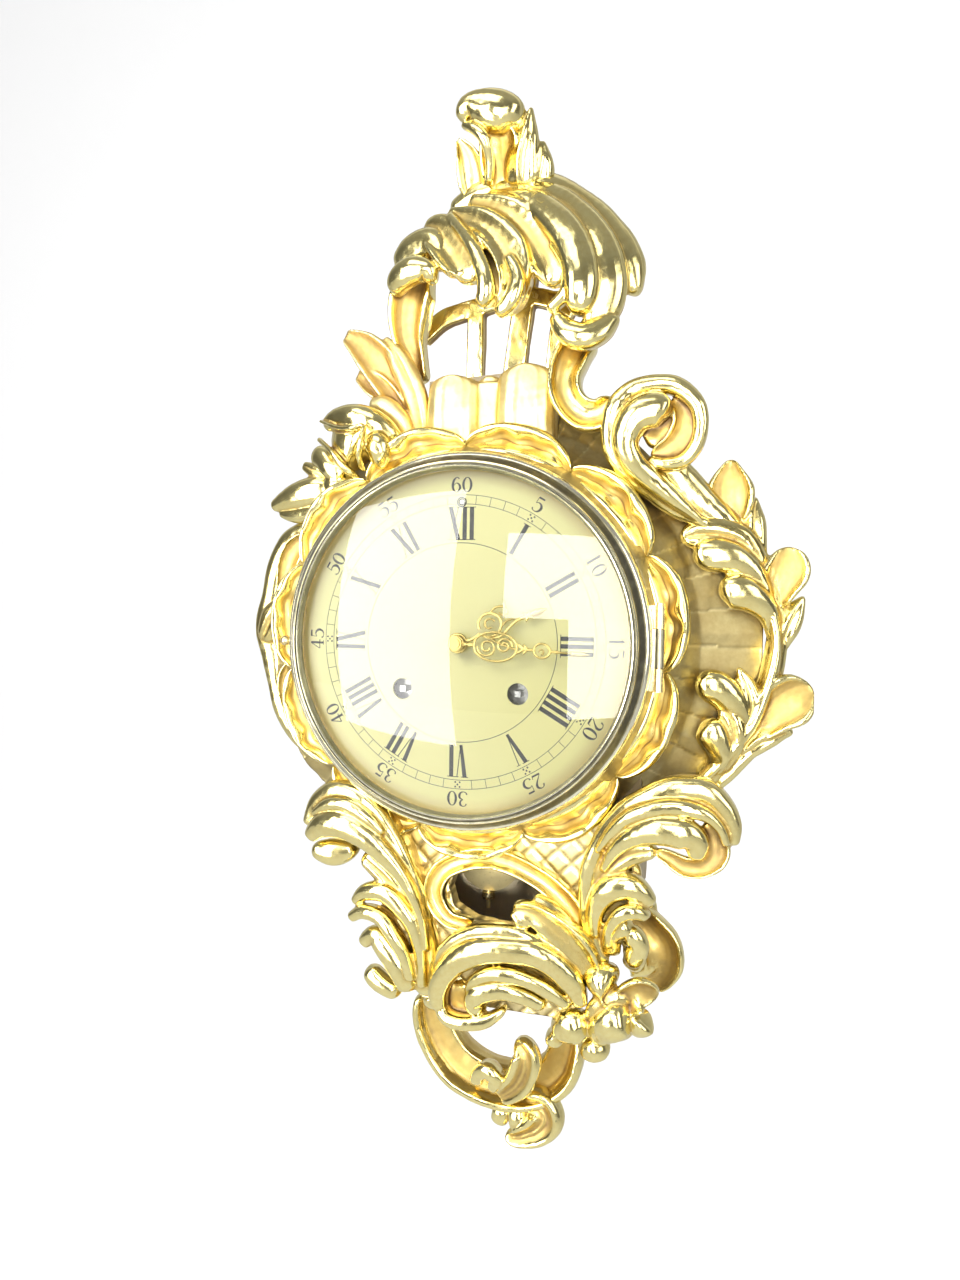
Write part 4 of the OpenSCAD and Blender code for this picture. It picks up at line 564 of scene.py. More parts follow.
# Forms of each carved node: a profile, then its route as rows of x, z, height over the ground,
# half width and thickness
CARVING = {
    "crest_finial": """
    LOBE -8 280 -2 3.5 10, -5 286 0 6.5 16, 2 286 2 9.5 22, 11 283 3 11 24, 19 280 1 9.5 22, 24
        276 -4 5 12
    SPOON 11 246 -14 8.5 14, 11 259 -10 11 16, 12 269 -6 11.5 16, 13 277 -2 11 14
    LOBE -8 278 -3 1.5 8, 0 274 0 3 10, 6 267 0 3 10, 7 258 -6 2.5 9, 5 249 -12 2 8
    SPOON -6 245 -20 7 12, -6 255 -16 8.5 11, -8 266 -13 6.5 9, -13 275 -12 1.5 5
    KEEL 23 244 -12 9.5 14, 24 258 -7 10 14, 27 270 -6 6.5 10, 29 285 -9 1 4
    KEEL 31 245 -16 7 12, 34 256 -11 7 11, 35 268 -12 1 4
    LOBE -8 247 -24 8.5 16, 13 247 -18 9.5 20, 31 245 -20 7 16
    DISH 10 248 -18 11 12, 9 265 -15 11 12, 9 280 -10 11 12, 7 287 -6 9.5 10""",
    "hood": """
    DISH -16 227 -12 7 14, 16 227 -9 12 18, 46 212 -5 14.5 20, 62 192 -3 14.5 20, 62 175 -6 11 18
    DISH -35 214 -14 7 14, -10 215 -9 11 16, 9 201 -5 11 16, 12 188 -6 7 14
    LOBE -21 240 -22 6 16, 1 248 -18 9.5 22, 30 245 -14 12 26, 52 231 -10 13 28, 70 213 -8 13 28,
        81 196 -8 11 24, 87 184 -12 2.5 8
    ROLL 8 244 -16 6 18, 38 237 -8 9.5 24, 59 219 0 10 26, 71 199 4 10 26, 73 181 4 10 24, 66 166
        2 7 20, 55 161 -2 3.5 12
    ROLL 3 243 -12 3.5 14, 30 235 -4 7 20, 49 217 6 9 24, 59 198 10 9 24, 61 182 11 8.5 22, 57
        171 8 5 16
    LOBE 46 173 4 3.5 12, 53 163 8 6.5 18, 62 159 9 7 20, 71 163 6 6.5 18, 78 172 0 3.5 12
    SHELL -7 242 -12 3.5 12, 18 231 -2 8.5 18, 34 215 2 11 20, 43 199 3 11 20, 44 188 1 6 14
    LOBE 44 210 3 2.5 10, 53 196 8 3 12, 53 182 8 3.5 12, 43 174 5 2.5 10
    SHELL -19 235 -10 3.5 12, 3 226 0 8.5 18, 19 211 6 10 20, 25 196 8 9 20, 24 183 8 7 18, 17
        176 6 5 14
    LOBE -17 234 -8 2.5 10, 0 213 6 3.5 12, 9 196 11 4.5 14, 11 184 12 5 15, 6 178 10 3.5 12
    LOBE 22 203 9 2.5 10, 28 190 11 4 12, 25 179 12 4.5 13, 16 173 9 3.5 11
    SHELL -35 229 -14 5 12, -23 225 -4 11 18, -11 212 2 12.5 20, -4 200 4 9.5 18, -5 193 2 5 12
    LOBE -50 209 -14 6 12, -39 217 -8 9.5 16, -26 219 -4 8.5 16, -19 210 -2 3.5 12
    LOBE -24 194 2 3 10, -24 200 5 5.5 14, -34 202 5 8 16, -43 198 2 7 15, -48 192 -4 3.5 12
    GUTTER -31 209 -12 5 14, -38 198 -10 12 18, -42 184 -12 12 20, -43 171 -16 9.5 18, -40 160
        -20 6 16, -38 147 -22 5 14""",
    "upper_scroll": """
    GUTTER 62 166 -12 8.5 18, 55 155 -6 9.5 20, 51 141 -2 9 22, 54 129 0 8.5 24, 62 121 0 8.5 24,
        71 122 -2 8 22, 77 130 -4 5 16""",
    "volute_scroll": """
    LOBE 127 64 -20 2.5 9, 109 72 -14 4 14, 95 83 -8 5 18, 83 93 -3 5.5 22, 77 105 0 5.5 24, 77
        117 2 5.5 24, 80 126 2 5 24, 88 133 0 5 22, 100 135 0 5 20, 110 133 0 5 20, 119 125 0 4.5
        18, 122 115 -1 4 18, 120 104 -3 3.5 18, 113 96 -4 3.5 16, 103 95 -5 3 14, 95 98 -7 2 10
    LOBE 124 65 -19 1.5 8, 110 76 -9 4 16, 97 87 -2 5.5 20, 89 95 4 6 24, 85 105 7 6.5 26, 88 115
        8 8 26, 94 120 8 9 24, 102 121 7 8.5 22, 107 119 5 3.5 16
    SPOON 108 129 -3 3.5 14, 114 122 -4 7 16, 115 112 -5 9 16, 110 104 -6 8.5 16, 102 100 -7 6
        14, 96 99 -8 3 10
    DISH 94 120 -9 7 14, 101 114 -9 11 14, 106 110 -9 9.5 14
    LOBE 97 102 -16 7 14, 107 90 -18 11 14, 120 78 -21 9.5 13, 132 68 -24 7 12, 140 60 -26 5 11""",
    "right_spray": """
    LOBE 112 85 -24 6 14, 127 73 -27 7 14, 142 59 -29 7 15, 152 44 -31 6.5 16, 159 28 -33 6 17,
        162 10 -34 5.5 18, 161 -6 -33 6 18, 157 -24 -32 6.5 18, 148 -44 -31 7 18, 135 -61 -29 7
        17, 125 -73 -27 7 16
    RIB 127 74 -24 1 8, 143 56 -25 1.5 9, 153 39 -27 2 10, 159 20 -28 2.5 11, 162 3 -28 2.5 11,
        159 -17 -27 3 12, 151 -40 -26 3 12, 137 -59 -24 3 12, 124 -73 -22 2.5 10
    SPOON 138 65 -30 6 11, 137 76 -27 11.5 13, 136 87 -28 11.5 12, 136 100 -32 2 6
    KEEL 152 45 -31 4 10, 149 58 -28 6.5 11, 148 69 -29 6.5 10, 149 80 -33 1 5
    SPOON 160 22 -33 5 11, 163 33 -29 10 13, 166 43 -30 12 12, 165 54 -34 6 7
    KEEL 164 -2 -36 2.5 9, 166 9 -33 6.5 11, 170 19 -34 6 10, 175 28 -38 1 5
    SPOON 151 -47 -31 6 12, 161 -34 -27 12 14, 171 -26 -28 14 13, 181 -20 -33 8.5 8
    KEEL 142 -62 -33 3.5 10, 153 -51 -30 6.5 12, 163 -45 -31 6 11, 172 -44 -35 1.5 5
    LOBE 132 -76 -30 3.5 10, 141 -66 -31 4.5 11, 152 -54 -32 3.5 10
    LEAFLET 152 40 -29 6 11, 143 54 -24 9 13, 131 59 -21 9.5 13, 119 59 -20 8 12, 112 56 -21 3.5
        9
    LOBE 157 25 -30 4 10, 149 39 -24 6.5 13, 139 47 -19 8.5 15, 127 49 -17 9 16, 118 49 -18 5.5
        12
    LEAFLET 158 20 -30 3.5 9, 152 31 -27 5.5 10, 145 41 -25 5 9, 140 44 -24 2.5 7
    LOBE 161 3 -32 3.5 10, 158 17 -28 5.5 13, 150 26 -21 8 15, 140 30 -18 9.5 16, 132 29 -19 6.5
        13
    LOBE 145 -52 -30 4 12, 144 -36 -24 7 15, 137 -25 -19 9 17, 129 -19 -17 9 16, 123 -14 -19 4.5
        11
    KEEL 148 -48 -30 3.5 10, 150 -32 -26 6 12, 147 -20 -25 5.5 11, 143 -10 -26 1 5
    LOBE 131 -69 -28 4 12, 134 -57 -22 7 15, 130 -45 -19 8.5 16, 126 -39 -21 5 11
    LEAFLET 135 -66 -28 3.5 11, 142 -51 -25 5.5 12, 141 -39 -23 5.5 12, 135 -31 -22 4 10""",
    "left_leaf": """
    SPOON -37 116 -22 5 12, -46 136 -17 9.5 14, -57 153 -15 11.5 14, -70 167 -16 9.5 12, -84 176
        -20 3.5 7
    LEAFLET -35 116 -21 5 12, -38 138 -15 7 13, -47 157 -14 7 12, -58 172 -18 2 6
    SPOON -45 126 -22 4 10, -56 140 -18 7 12, -67 148 -18 7 11, -77 153 -22 2.5 6
    LOBE -41 113 -18 3.5 12, -47 125 -13 5.5 14, -56 133 -12 5.5 13, -66 134 -15 3 9
    DISH -37 118 -26 5 10, -45 135 -24 8.5 10, -56 150 -24 8.5 9, -68 161 -26 5 7""",
    "flower_bud": """
    LOBE -88 113 -8 11 18, -77 112 0 15.5 26, -68 110 2 17 28, -63 107 -2 14.5 24, -61 104 -10
        9.5 16
    LOBE -92 122 -9 3.5 10, -81 125 -3 6.5 15, -68 124 1 8.5 18, -58 119 1 9.5 20, -51 112 -3 9
        18, -49 106 -10 5 13
    LOBE -58 115 2 5 12, -54 108 5 8 16, -55 102 3 8 16, -59 98 -3 5 12
    RIB -92 124 -5 1 5, -76 118 4 1.5 5, -65 117 8 1.5 5, -59 119 7 1 5
    RIB -93 114 -5 1.5 6, -80 105 4 1.5 6, -72 96 4 2 7, -66 90 -3 1.5 7
    RIB -58 118 8 1 5, -59 109 11 1.5 6, -61 101 9 1.5 6, -62 94 1 1.5 6
    LOBE -104 108 -17 6 10, -95 104 -13 7 12, -88 98 -11 7 13, -78 92 -12 8.5 16
    LOBE -93 95 -15 6 11, -86 88 -12 8.5 13, -81 83 -14 8 13, -73 86 -15 7 13""",
    "left_lower_leaf": """
    LOBE -85 84 -22 8.5 13, -101 86 -18 9.5 14, -118 83 -20 8 12, -135 77 -26 3 7
    LEAFLET -89 91 -22 6 12, -99 96 -20 5.5 11, -113 102 -24 2.5 6
    LOBE -84 74 -22 6 12, -99 73 -20 6 12, -117 72 -23 5 9, -130 74 -27 2.5 6""",
    "left_rim": """
    LOBE -98 64 -26 6 16, -111 63 -26 7 17, -125 55 -28 8 18, -134 40 -29 7 18, -138 22 -30 7 18,
        -141 5 -29 8.5 18, -137 -13 -29 8 18, -134 -32 -30 6 18, -129 -49 -30 6 18, -118 -63 -29
        6 17, -105 -71 -28 6 16
    SPOON -104 60 -24 3.5 10, -115 53 -22 7 14, -122 41 -23 7 13, -127 22 -26 3.5 8
    LEAFLET -115 22 -24 3.5 10, -122 18 -22 7 13, -132 9 -22 9.5 14, -141 -5 -27 5 8
    SPOON -117 -16 -26 3.5 9, -123 -27 -25 6 11, -121 -44 -26 6 10, -110 -56 -27 3.5 8
    LOBE -104 -60 -26 5 12, -95 -69 -23 8 14, -84 -75 -21 8.5 15""",
    "lower_left_scroll": """
    LOBE -25 -205 -6 6 18, -22 -187 -4 6.5 20, -22 -169 -2 6 22, -25 -147 2 5 24, -31 -129 5 5
        26, -39 -112 8 5.5 27, -50 -97 10 6 28, -62 -89 10 7 28, -76 -88 8 7 26, -88 -97 5 6 22,
        -94 -110 3 3.5 16
    LOBE -88 -101 8 2 10, -77 -94 12 4 14, -64 -93 14 4.5 15, -52 -99 14 4 15, -42 -107 12 1.5 10
    LOBE -91 -116 8 3.5 14, -82 -107 13 7 20, -67 -104 16 8.5 22, -54 -109 16 7.5 22, -43 -118 14
        6 21, -33 -130 11 4.5 20, -26 -143 8 3 19, -22 -158 4 2.5 18, -21 -175 0 2 14
    LEAFLET -60 -123 2 5 16, -46 -133 3 6.5 18, -36 -144 2 6 18, -29 -158 -1 5 17, -26 -175 -4
        3.5 14
    LOBE -92 -123 2 4 12, -81 -124 4 8 16, -72 -123 3 7 16, -64 -121 1 3.5 12
    LOBE -66 -153 -1 2.5 10, -58 -145 3 5 14, -45 -143 6 6 18, -34 -151 6 5.5 19, -27 -163 4 4.5
        19, -24 -179 1 3.5 18, -24 -198 -2 3 16
    RIB -68 -162 1 3 10, -59 -156 4 4 13, -47 -157 7 4.5 15, -39 -165 8 4 15, -32 -178 6 3.5 15,
        -29 -193 2 3 14
    LOBE -63 -179 -5 3.5 12, -54 -171 -1 6 16, -46 -177 1 7 18, -38 -188 1 7 18, -32 -202 -2 5.5
        16
    LOBE -61 -193 -8 5 12, -55 -199 -7 6.5 14, -48 -203 -7 6 14, -40 -206 -8 5 13
    DISH -50 -131 -5 7 14, -42 -153 -6 9.5 14, -36 -177 -8 9.5 14, -32 -200 -10 7 14""",
    "lower_right_scroll": """
    LOBE 77 -175 -8 6 16, 71 -156 -5 5.5 18, 69 -139 -2 5 20, 70 -120 1 4.5 22, 77 -102 4 5 24,
        88 -87 7 6 26, 101 -77 10 6.5 27, 115 -71 11 7 27, 128 -71 10 7 26, 137 -77 8 6 24, 143
        -88 5 5 22, 143 -99 3 3.5 18
    LOBE 75 -108 4 1.5 10, 83 -96 9 3 14, 93 -86 13 4 16, 107 -80 15 4.5 17, 120 -79 15 4.5 17,
        131 -82 13 3.5 16, 138 -89 10 2.5 14, 141 -98 7 2 10
    LOBE 78 -118 3 1.5 10, 86 -104 9 4 15, 97 -95 14 6 19, 109 -91 17 8 22, 120 -92 17 8.5 22,
        126 -97 14 7 20, 126 -106 10 3 12
    SPOON 130 -87 4 3 12, 135 -95 3 6 14, 136 -104 3 6.5 14, 130 -110 4 5.5 14, 121 -111 4 5.5
        13, 112 -107 3 4 12, 106 -105 2 2.5 10
    LEAFLET 72 -138 -4 4 14, 75 -125 -1 6 16, 83 -114 2 7 17, 94 -107 3 6.5 16, 106 -105 2 3.5 12
    LOBE 73 -158 -5 3.5 14, 74 -142 0 5.5 18, 80 -130 4 7 20, 90 -125 5 7.5 20, 98 -129 3 6.5 18,
        104 -136 -1 4 13
    RIB 81 -162 -4 3 12, 82 -150 2 3.5 14, 88 -140 6 4 15, 96 -137 6 4 14, 103 -141 2 2.5 10
    LOBE 82 -168 -8 5 14, 83 -155 -2 5.5 15, 89 -148 1 5 14, 93 -145 -2 3 11
    LOBE 87 -153 -4 3 10, 93 -152 -1 5.5 13, 97 -158 -2 6 14, 94 -166 -5 6 14, 89 -169 -7 5 13
    DISH 74 -142 -9 7 14, 84 -126 -9 11 15, 95 -117 -9 8.5 14""",
    "bottom_acanthus": """
    RIB -15 -185 0 2 10, -9 -171 5 3.5 14, 4 -160 8 4 16, 19 -155 10 4 17, 34 -155 10 4 17, 48
        -161 8 4.5 16, 60 -171 5 4 15, 67 -183 1 3 12
    LOBE -12 -208 2 4.5 14, -12 -194 6 6 18, -4 -179 10 7 21, 10 -168 13 8 23, 26 -164 14 7.5 23,
        42 -164 13 7.5 22, 54 -170 10 7 21, 64 -182 5 6 18, 68 -195 -1 3.5 13
    LOBE -12 -204 2 3.5 12, -7 -210 4 4 13, 3 -211 5 4 13, 14 -209 4 4 13, 22 -204 2 3 11, 26
        -200 0 1.5 7
    DISH -4 -192 -4 6 14, 0 -203 -5 8.5 14, 10 -207 -5 6 13
    RIB 5 -194 4 2.5 10, 11 -184 9 4 14, 23 -178 11 4.5 16, 38 -179 10 4.5 16, 51 -186 6 4.5 15,
        62 -195 0 3 12
    LOBE 15 -203 2 4.5 12, 9 -200 6 5.5 15, 12 -192 9 6 17, 24 -188 9 5.5 17, 36 -190 7 5 16, 49
        -196 2 3.5 13
    SHELL 74 -178 -2 6 14, 67 -164 5 9 18, 57 -153 9 9.5 19, 47 -145 11 7.5 17, 38 -142 11 6 14,
        31 -142 8 3 9
    RIB 31 -143 8 2 8, 35 -148 9 2.5 10, 42 -149 8 2.5 9
    RIB 70 -163 0 2.5 11, 61 -149 5 3.5 13, 52 -140 7 3.5 13, 42 -135 6 2 9
    DISH -11 -193 -8 11 16, 11 -185 -8 14.5 18, 33 -184 -8 14.5 18, 55 -188 -9 12 17""",
    "flower": """
    LOBE 71 -187 -4 7 16, 79 -181 5 12 26, 85 -183 -4 8.5 16
    SPOON 85 -196 -8 6 14, 94 -186 0 9 16, 101 -183 -2 8.5 14, 108 -185 -8 3.5 8
    LOBE 73 -215 -6 5 14, 81 -204 4 9 20, 89 -197 5 9.5 21, 95 -195 -4 5 13
    LEAFLET 72 -204 -4 5 12, 79 -194 1 8 14, 87 -189 0 7 13, 93 -193 -6 3.5 9
    LOBE 92 -208 -9 5 12, 99 -200 -2 8.5 17, 102 -196 -8 5.5 12
    LOBE 73 -205 -3 6 14, 65 -206 2 9.5 19, 56 -208 0 8.5 17, 50 -207 -5 5 12
    LOBE 58 -216 -5 5 12, 52 -215 -3 6 13, 48 -213 -7 4 10
    LOBE 65 -220 -11 5 10, 73 -221 -7 7 13, 82 -219 -11 5 10
    LOBE 71 -200 -10 12 18, 82 -202 -8 15.5 20, 93 -198 -10 12 18""",
    "side_roll": """
    SPOON 80 -148 -40 6 20, 88 -152 -38 8.5 22, 97 -159 -35 10.5 26, 105 -168 -33 12 28, 107 -178
        -34 11.5 27, 104 -188 -38 9 24, 99 -196 -43 5 16
    LOBE 88 -138 -43 6 18, 94 -148 -41 7 20, 99 -156 -40 6 20
    LOBE 84 -162 -20 5 14, 92 -161 -14 6.5 18, 94 -169 -14 6.5 18, 90 -178 -18 5 14
    LOBE 86 -179 -40 7 20, 95 -182 -37 11 26, 100 -190 -40 9.5 22""",
    "bottom_loop": """
    RIM -29 -211 -26 7 22, -29 -223 -25 10 24, -24 -238 -25 11.5 26, -13 -253 -25 12 28, 3 -261
        -25 12 28, 21 -263 -25 12 28, 37 -259 -25 12 28, 49 -249 -25 12 26, 54 -236 -26 11 24, 55
        -226 -28 8.5 20, 52 -217 -29 7 18
    LOBE 4 -258 -19 3.5 12, 6 -250 -15 4.5 14, 12 -245 -12 5 16, 17 -249 -12 4.5 15, 13 -258 -16
        3.5 12
    LEAF 17 -263 -19 5.5 14, 29 -251 -12 8.5 18, 35 -238 -8 9 20, 35 -229 -8 7.5 18, 29 -224 -12
        4.5 11
    LOBE -24 -203 -15 5 14, -21 -207 -11 6.5 17, -23 -216 -15 5 13""",
    "pendant_leaf": """
    LEAF 30 -267 -26 7 16, 40 -267 -23 11 20, 44 -274 -22 11 19, 38 -282 -23 9.5 17, 26 -288 -25
        6 12, 21 -286 -27 3 8
    LOBE 16 -272 -29 5 12, 16 -279 -28 5.5 13, 14 -286 -30 5 11
    LOBE 25 -269 -28 5 12, 27 -277 -25 5.5 14, 26 -286 -27 4 11""",
    "trellis": """
    BAR -42 176 -36 5 8, -28 186 -36 5 8, -10 190.5 -36 5 8, 14 195 -36 5 8, 32 193 -35 5 8, 50
        184 -33 5 8
    BAR -8.6 142 -35 5 8, -8.6 188 -36 5 8
    BAR 14 144 -35 6.2 8, 23 222 -36 6.2 8
    BAR 36 144 -35 4 8, 42 196 -35 4 8""",
    "window_frame": """
    GUTTER 5 -158 -4 4 10, -9 -155 -2 5 13, -17 -142 -1 6 14, -12 -128 -1 6 14, 4 -120 -1 6 14,
        22 -119 -1 6 14, 42 -126 -1 6 14, 58 -138 -2 6 14, 68 -152 -5 4 10""",
    "fluted_panel": """
    FLUTE -14.5 104 -12 15.4 18, -14.5 126 -10 15.6 16, -14 148 -13 15 12
    FLUTE 6 104 -19 7.5 13, 6 126 -17 7.5 11, 6 147 -18 7.2 9
    FLUTE 27.5 104 -12 16.8 18, 27.5 126 -10 17 16, 28 152 -13 16 12
    BAR 6.5 106 -17 36 11, 6.5 143 -17 36 11""",
}

# Carving that is burnished in its hollows too, with less painted shade there
BRIGHT = ("upper_scroll", "window_frame", "crest_finial")
# Carving that comes near enough to the door to be cut back from it
NEAR_DOOR = (
    "volute_scroll", "right_spray", "flower_bud", "left_rim",
    "lower_left_scroll", "lower_right_scroll", "left_lower_leaf", "window_frame",
)
ROUTE_STEP = 1.6
END_STEPS = 8
TIP = 0.03  # share of the width that is left at a form's very end
SHOULDER = 0.4  # height in a profile below which its sides run to the back
BOX_MARGIN = 0.0002
# Unevenness of the carving in metres: how deep it goes and how wide its waves are
BROAD_DEPTH, BROAD_WAVES = 0.0002, 0.018
FINE_DEPTH, FINE_WAVES = 0.00005, 0.005


def forms(text):
    """Pairs of a profile's name and its route."""
    out = []
    for word in text.split():
        if word in PROFILES:
            out.append((word, []))
        else:
            out[-1][1].append(word)
    return [(kind, table(" ".join(words), 5)) for kind, words in out]


def matt_places(kind):
    """How matt the gilding is at each point of a profile, 1 in its hollows. The same number
    darkens the colour there as painted shade.
    """
    high = [h for _, h in PROFILES[kind]]
    if kind == "DISH":
        return [1.0] * len(high)
    if kind == "LEAFLET":
        return [0.75] * len(high)
    if kind == "BAR":
        # A bar's sides are darkened as painted shade
        return [2.0 if h < 0.95 else 0.0 for h in high]
    out = []
    for i, h in enumerate(high):
        dip = min(max(high[:i + 1]), max(high[i:])) - h
        out.append(min(1.0, max(dip, 0.25 - 0.5 * h) / 0.12) if h > 0 else 1.0)
    # The rim's deep inner side is darkened as painted shade
    if kind == "RIM":
        out[2:8] = [1.0] * 6
    return out


def swept(kind, rows):
    """Points, faces and mattness with painted shade of one form along its route, its ends rounded
    off.
    """
    flat_ends, arched = kind == "BAR", kind == "FLUTE"
    path = smooth_rows(rows)
    run = np.r_[0, np.cumsum(np.linalg.norm(np.diff(path[:, :2], axis=0), axis=1))]
    length = run[-1]
    reach = 0.45 if arched else 0.9
    ends = [0.01 if flat_ends else min(reach * path[i, 3], 0.3 * length) for i in (0, -1)]
    taper = 1 - np.cos(np.linspace(0, math.pi / 2, END_STEPS)[:-1])
    middle = np.linspace(ends[0], length - ends[1], max(3, int(length / ROUTE_STEP)))
    places = np.r_[ends[0] * taper, middle, length - ends[1] * taper[::-1]]
    rows = np.stack([np.interp(places, run, path[:, i]) for i in range(5)], axis=1)
    points = []
    for (x, z, height, half, thick), (dx, dz), place in zip(rows, directions(rows), places):
        near_end = min(place / ends[0], (length - place) / ends[1], 1)
        share = TIP + (1 - TIP) * math.sqrt(max(0, 1 - (1 - near_end) ** 2))
        front = GROUND_D + height
        relief = thick if flat_ends else min(thick, 1.25 * half + 1.5)
        back = front - thick
        side = front - (1 - SHOULDER) * relief
        for u, h in PROFILES[kind]:
            if h > SHOULDER:
                d = front - (1 - h) * relief
            else:
                d = back + (side - back) * h / SHOULDER
            if not arched:
                d = front - thick / 2 + (d - front + thick / 2) * share
            points.append((x - dz * u * half * share, -d, z + dx * u * half * share))
    faces = tube_faces(len(rows), len(PROFILES[kind]))
    return np.array(points) * MM, faces, matt_places(kind) * len(rows)


def carved(node, seed, door_room):
    """The piece that stands for a carved node: its forms melted together and gilded, with painted
    shade in its hollows.
    """
    parts = [swept(kind, rows) for kind, rows in forms(CARVING[node])]
    points, faces = joined([part[:2] for part in parts])
    matt = np.concatenate([part[2] for part in parts])
    tree = KDTree(len(matt))
    for i, point in enumerate(points):
        tree.insert(point, i)
    tree.balance()
    look = satin if node in ("fluted_panel", "left_leaf") else burnished
    obj = blended(mesh_object(node + "_carving", points, faces, look), VOXEL)
    if node in NEAR_DOOR:
        modified(obj, "BOOLEAN", operation="DIFFERENCE", solver="MANIFOLD", object=door_room)
    mesh = obj.data
    points = relaxed(coordinates(mesh), edge_pairs(mesh), 2, 0.4)
    share = np.array([
        sum(matt[i] for _, i, _ in tree.find_n(point, 3)) / 3 for point in points
    ])
    move(mesh, points)
    uneven = (BROAD_DEPTH * waves(points, BROAD_WAVES, seed)
              + FINE_DEPTH * waves(points, FINE_WAVES, seed + 50))
    points = points + vertex_normals(mesh) * uneven[:, None]
    low, high = (np.array(corner) for corner in cad_box)
    move(mesh, np.clip(points, low + BOX_MARGIN, high - BOX_MARGIN))
    worn_hollows(mesh, matt=share * (0.3 if node in BRIGHT else 1.0))
    smooth(mesh)
    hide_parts(node)
    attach(obj, "case")


def carving():
    """All carved nodes, those near the door cut back from its round room."""
    wall, near, far = BEZEL_R + 0.6, 50, 140
    section = [(0.01, near), (wall, near), (wall, far), (0.01, far)]
    door_room = lathe("door_room", section, wood)
    for seed, node in enumerate(CARVING):
        carved(node, seed, door_room)
    bpy.data.objects.remove(door_room)


# Scallops and ground

PETALS = 11
PETAL_STEPS = 132
PETAL_START = -6.5
RING_INNER_R = 102.7
RING_OUTER_R = 108.2
PETAL_SWELL = 13.2
# Section of a petal: place outward, 0 to 1, and height, 0 to 1
PETAL = table("""
    0 0.3, 0 0.74, 0.03 0.8, 0.1 0.81, 0.17 0.78, 0.24 0.68, 0.3 0.61, 0.36 0.57, 0.41 0.55,
    0.45 0.52, 0.49 0.55, 0.55 0.58, 0.61 0.62, 0.66 0.7, 0.7 0.84, 0.75 0.94, 0.81 0.99,
    0.88 1, 0.94 0.96, 0.98 0.87, 1 0.74, 1 0.3""", 2)


def bell(value, middle, width):
    return math.exp(-((value - middle) / width) ** 2)


def scallop_ring():
    """Ring of scallops round the bezel: a matt hollow inside a rolled outer rim."""
    phase = np.random.default_rng(11).uniform(0, TURN, (PETALS, 4))
    points = []
    for petal, (a, b, c, e) in enumerate(phase):
        for step in range(PETAL_STEPS):
            u = step / PETAL_STEPS
            swell = max(0.0, math.sin(math.pi * u)) ** 0.55
            angle = math.radians(PETAL_START + (petal + u) * 360 / PETALS)
            # Small waves of its own keep each petal a little unlike the others
            outer = RING_OUTER_R + PETAL_SWELL * swell + 0.5 * swell * math.sin(9 * u + a)
            wave = (0.05 * math.sin(15 * u + b) + 0.035 * math.sin(27 * u + c)) * swell
            dent = 0.06 * math.sin(22 * u + e) * swell
            top = GROUND_D - 4.2 + 4.4 * swell
            for v, h in PETAL:
                bend = bell(v, 0.66, 0.12) + 0.8 * bell(v, 0.45, 0.1)
                level = h + dent * bell(v, 0.45, 0.12) * 0.6
                r = RING_INNER_R + (outer - RING_INNER_R) * (v + wave * bend)
                d = top - (1 - level) * (5 + 11 * swell)
                points.append((r * math.cos(angle), -d, r * math.sin(angle)))
    faces = turned_faces(PETALS * PETAL_STEPS, len(PETAL))
    obj = mesh_object("scallop_ring_carving", np.array(points) * MM, faces, burnished)
    mesh = obj.data
    points = relaxed(coordinates(mesh), edge_pairs(mesh), 1, 0.35)
    uneven = 0.00016 * waves(points, 0.012, 5)
    move(mesh, points + vertex_normals(mesh) * uneven[:, None])
    # Painted shade in the petals' hollows
    worn_hollows(mesh, 0.0001, 0.0011, (4, 40))
    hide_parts("scallop_ring")
    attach(obj, "case")


FACET_DEGREES = 8.6
FACET_DEPTH = 1.9
FACET_TOP = 0.35  # place of a facet's highest line, from 0 to 1
FACET_INNER_R, FACET_FADE = 104, 8
LATTICE_STEP = 10.5
GROOVE_DEPTH, GROOVE_HALF = 1.3, 1.5
# Where the lattice takes the place of the facets
LATTICE_TOP, LATTICE_INNER_R, LATTICE_X, LATTICE_HALF = -96, 112, 16, 62


def ground_panel():
    """The panel's own shape with shallow gouged facets, and a lattice of grooves below."""
    obj = linked("ground_panel_carving", nodes["ground_panel"].data.copy())
    mesh = blended(obj, GROUND_VOXEL).data
    mesh.materials.clear()
    mesh.materials.append(ground)
    points, normals = coordinates(mesh), vertex_normals(mesh)
    x, z = points[:, 0] / MM, points[:, 2] / MM
    r = np.hypot(x, z)
    front = np.clip(-normals[:, 1] * 3 - 0.6, 0, 1)
    facet = (np.degrees(np.arctan2(z, x)) + 0.5 * np.sin(r / 23)) / FACET_DEGREES % 1.0
    fade = np.clip((r - FACET_INNER_R) / FACET_FADE, 0, 1)
    sink = FACET_DEPTH * np.abs(facet - FACET_TOP) * fade
    below = (z < LATTICE_TOP) & (r > LATTICE_INNER_R) & (np.abs(x - LATTICE_X) < LATTICE_HALF)
    sink = np.where(below, 0, sink)
    for way in (1, -1):
        line = ((x + way * z) / (math.sqrt(2) * LATTICE_STEP)) % 1.0
        groove = np.clip(1 - np.minimum(line, 1 - line) * LATTICE_STEP / GROOVE_HALF, 0, 1)
        sink = np.where(below, np.maximum(sink, GROOVE_DEPTH * groove), sink)
    points = points - normals * (sink * front)[:, None] * MM
    points = points + normals * (0.00012 * waves(points, 0.01, 8) * front)[:, None]
    move(mesh, points)
    # Painted light and shade: light lines on the facets' ridges as painted highlights, the lower
    # lattice painted lighter than the upper panel, and its grooves painted darker as shade
    edge = np.exp(-(np.abs(facet - FACET_TOP) - (1 - FACET_TOP)) ** 2 / 0.004)
    shade_level = np.where(below, 0.05 + 0.5 * sink, 0.42 - 0.3 * edge)
    store_hollow(mesh, shade_level + 0.08 * waves(points, 0.02, 3))
    smooth(mesh)
    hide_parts("ground_panel")
    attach(obj, "case")


# Dial print

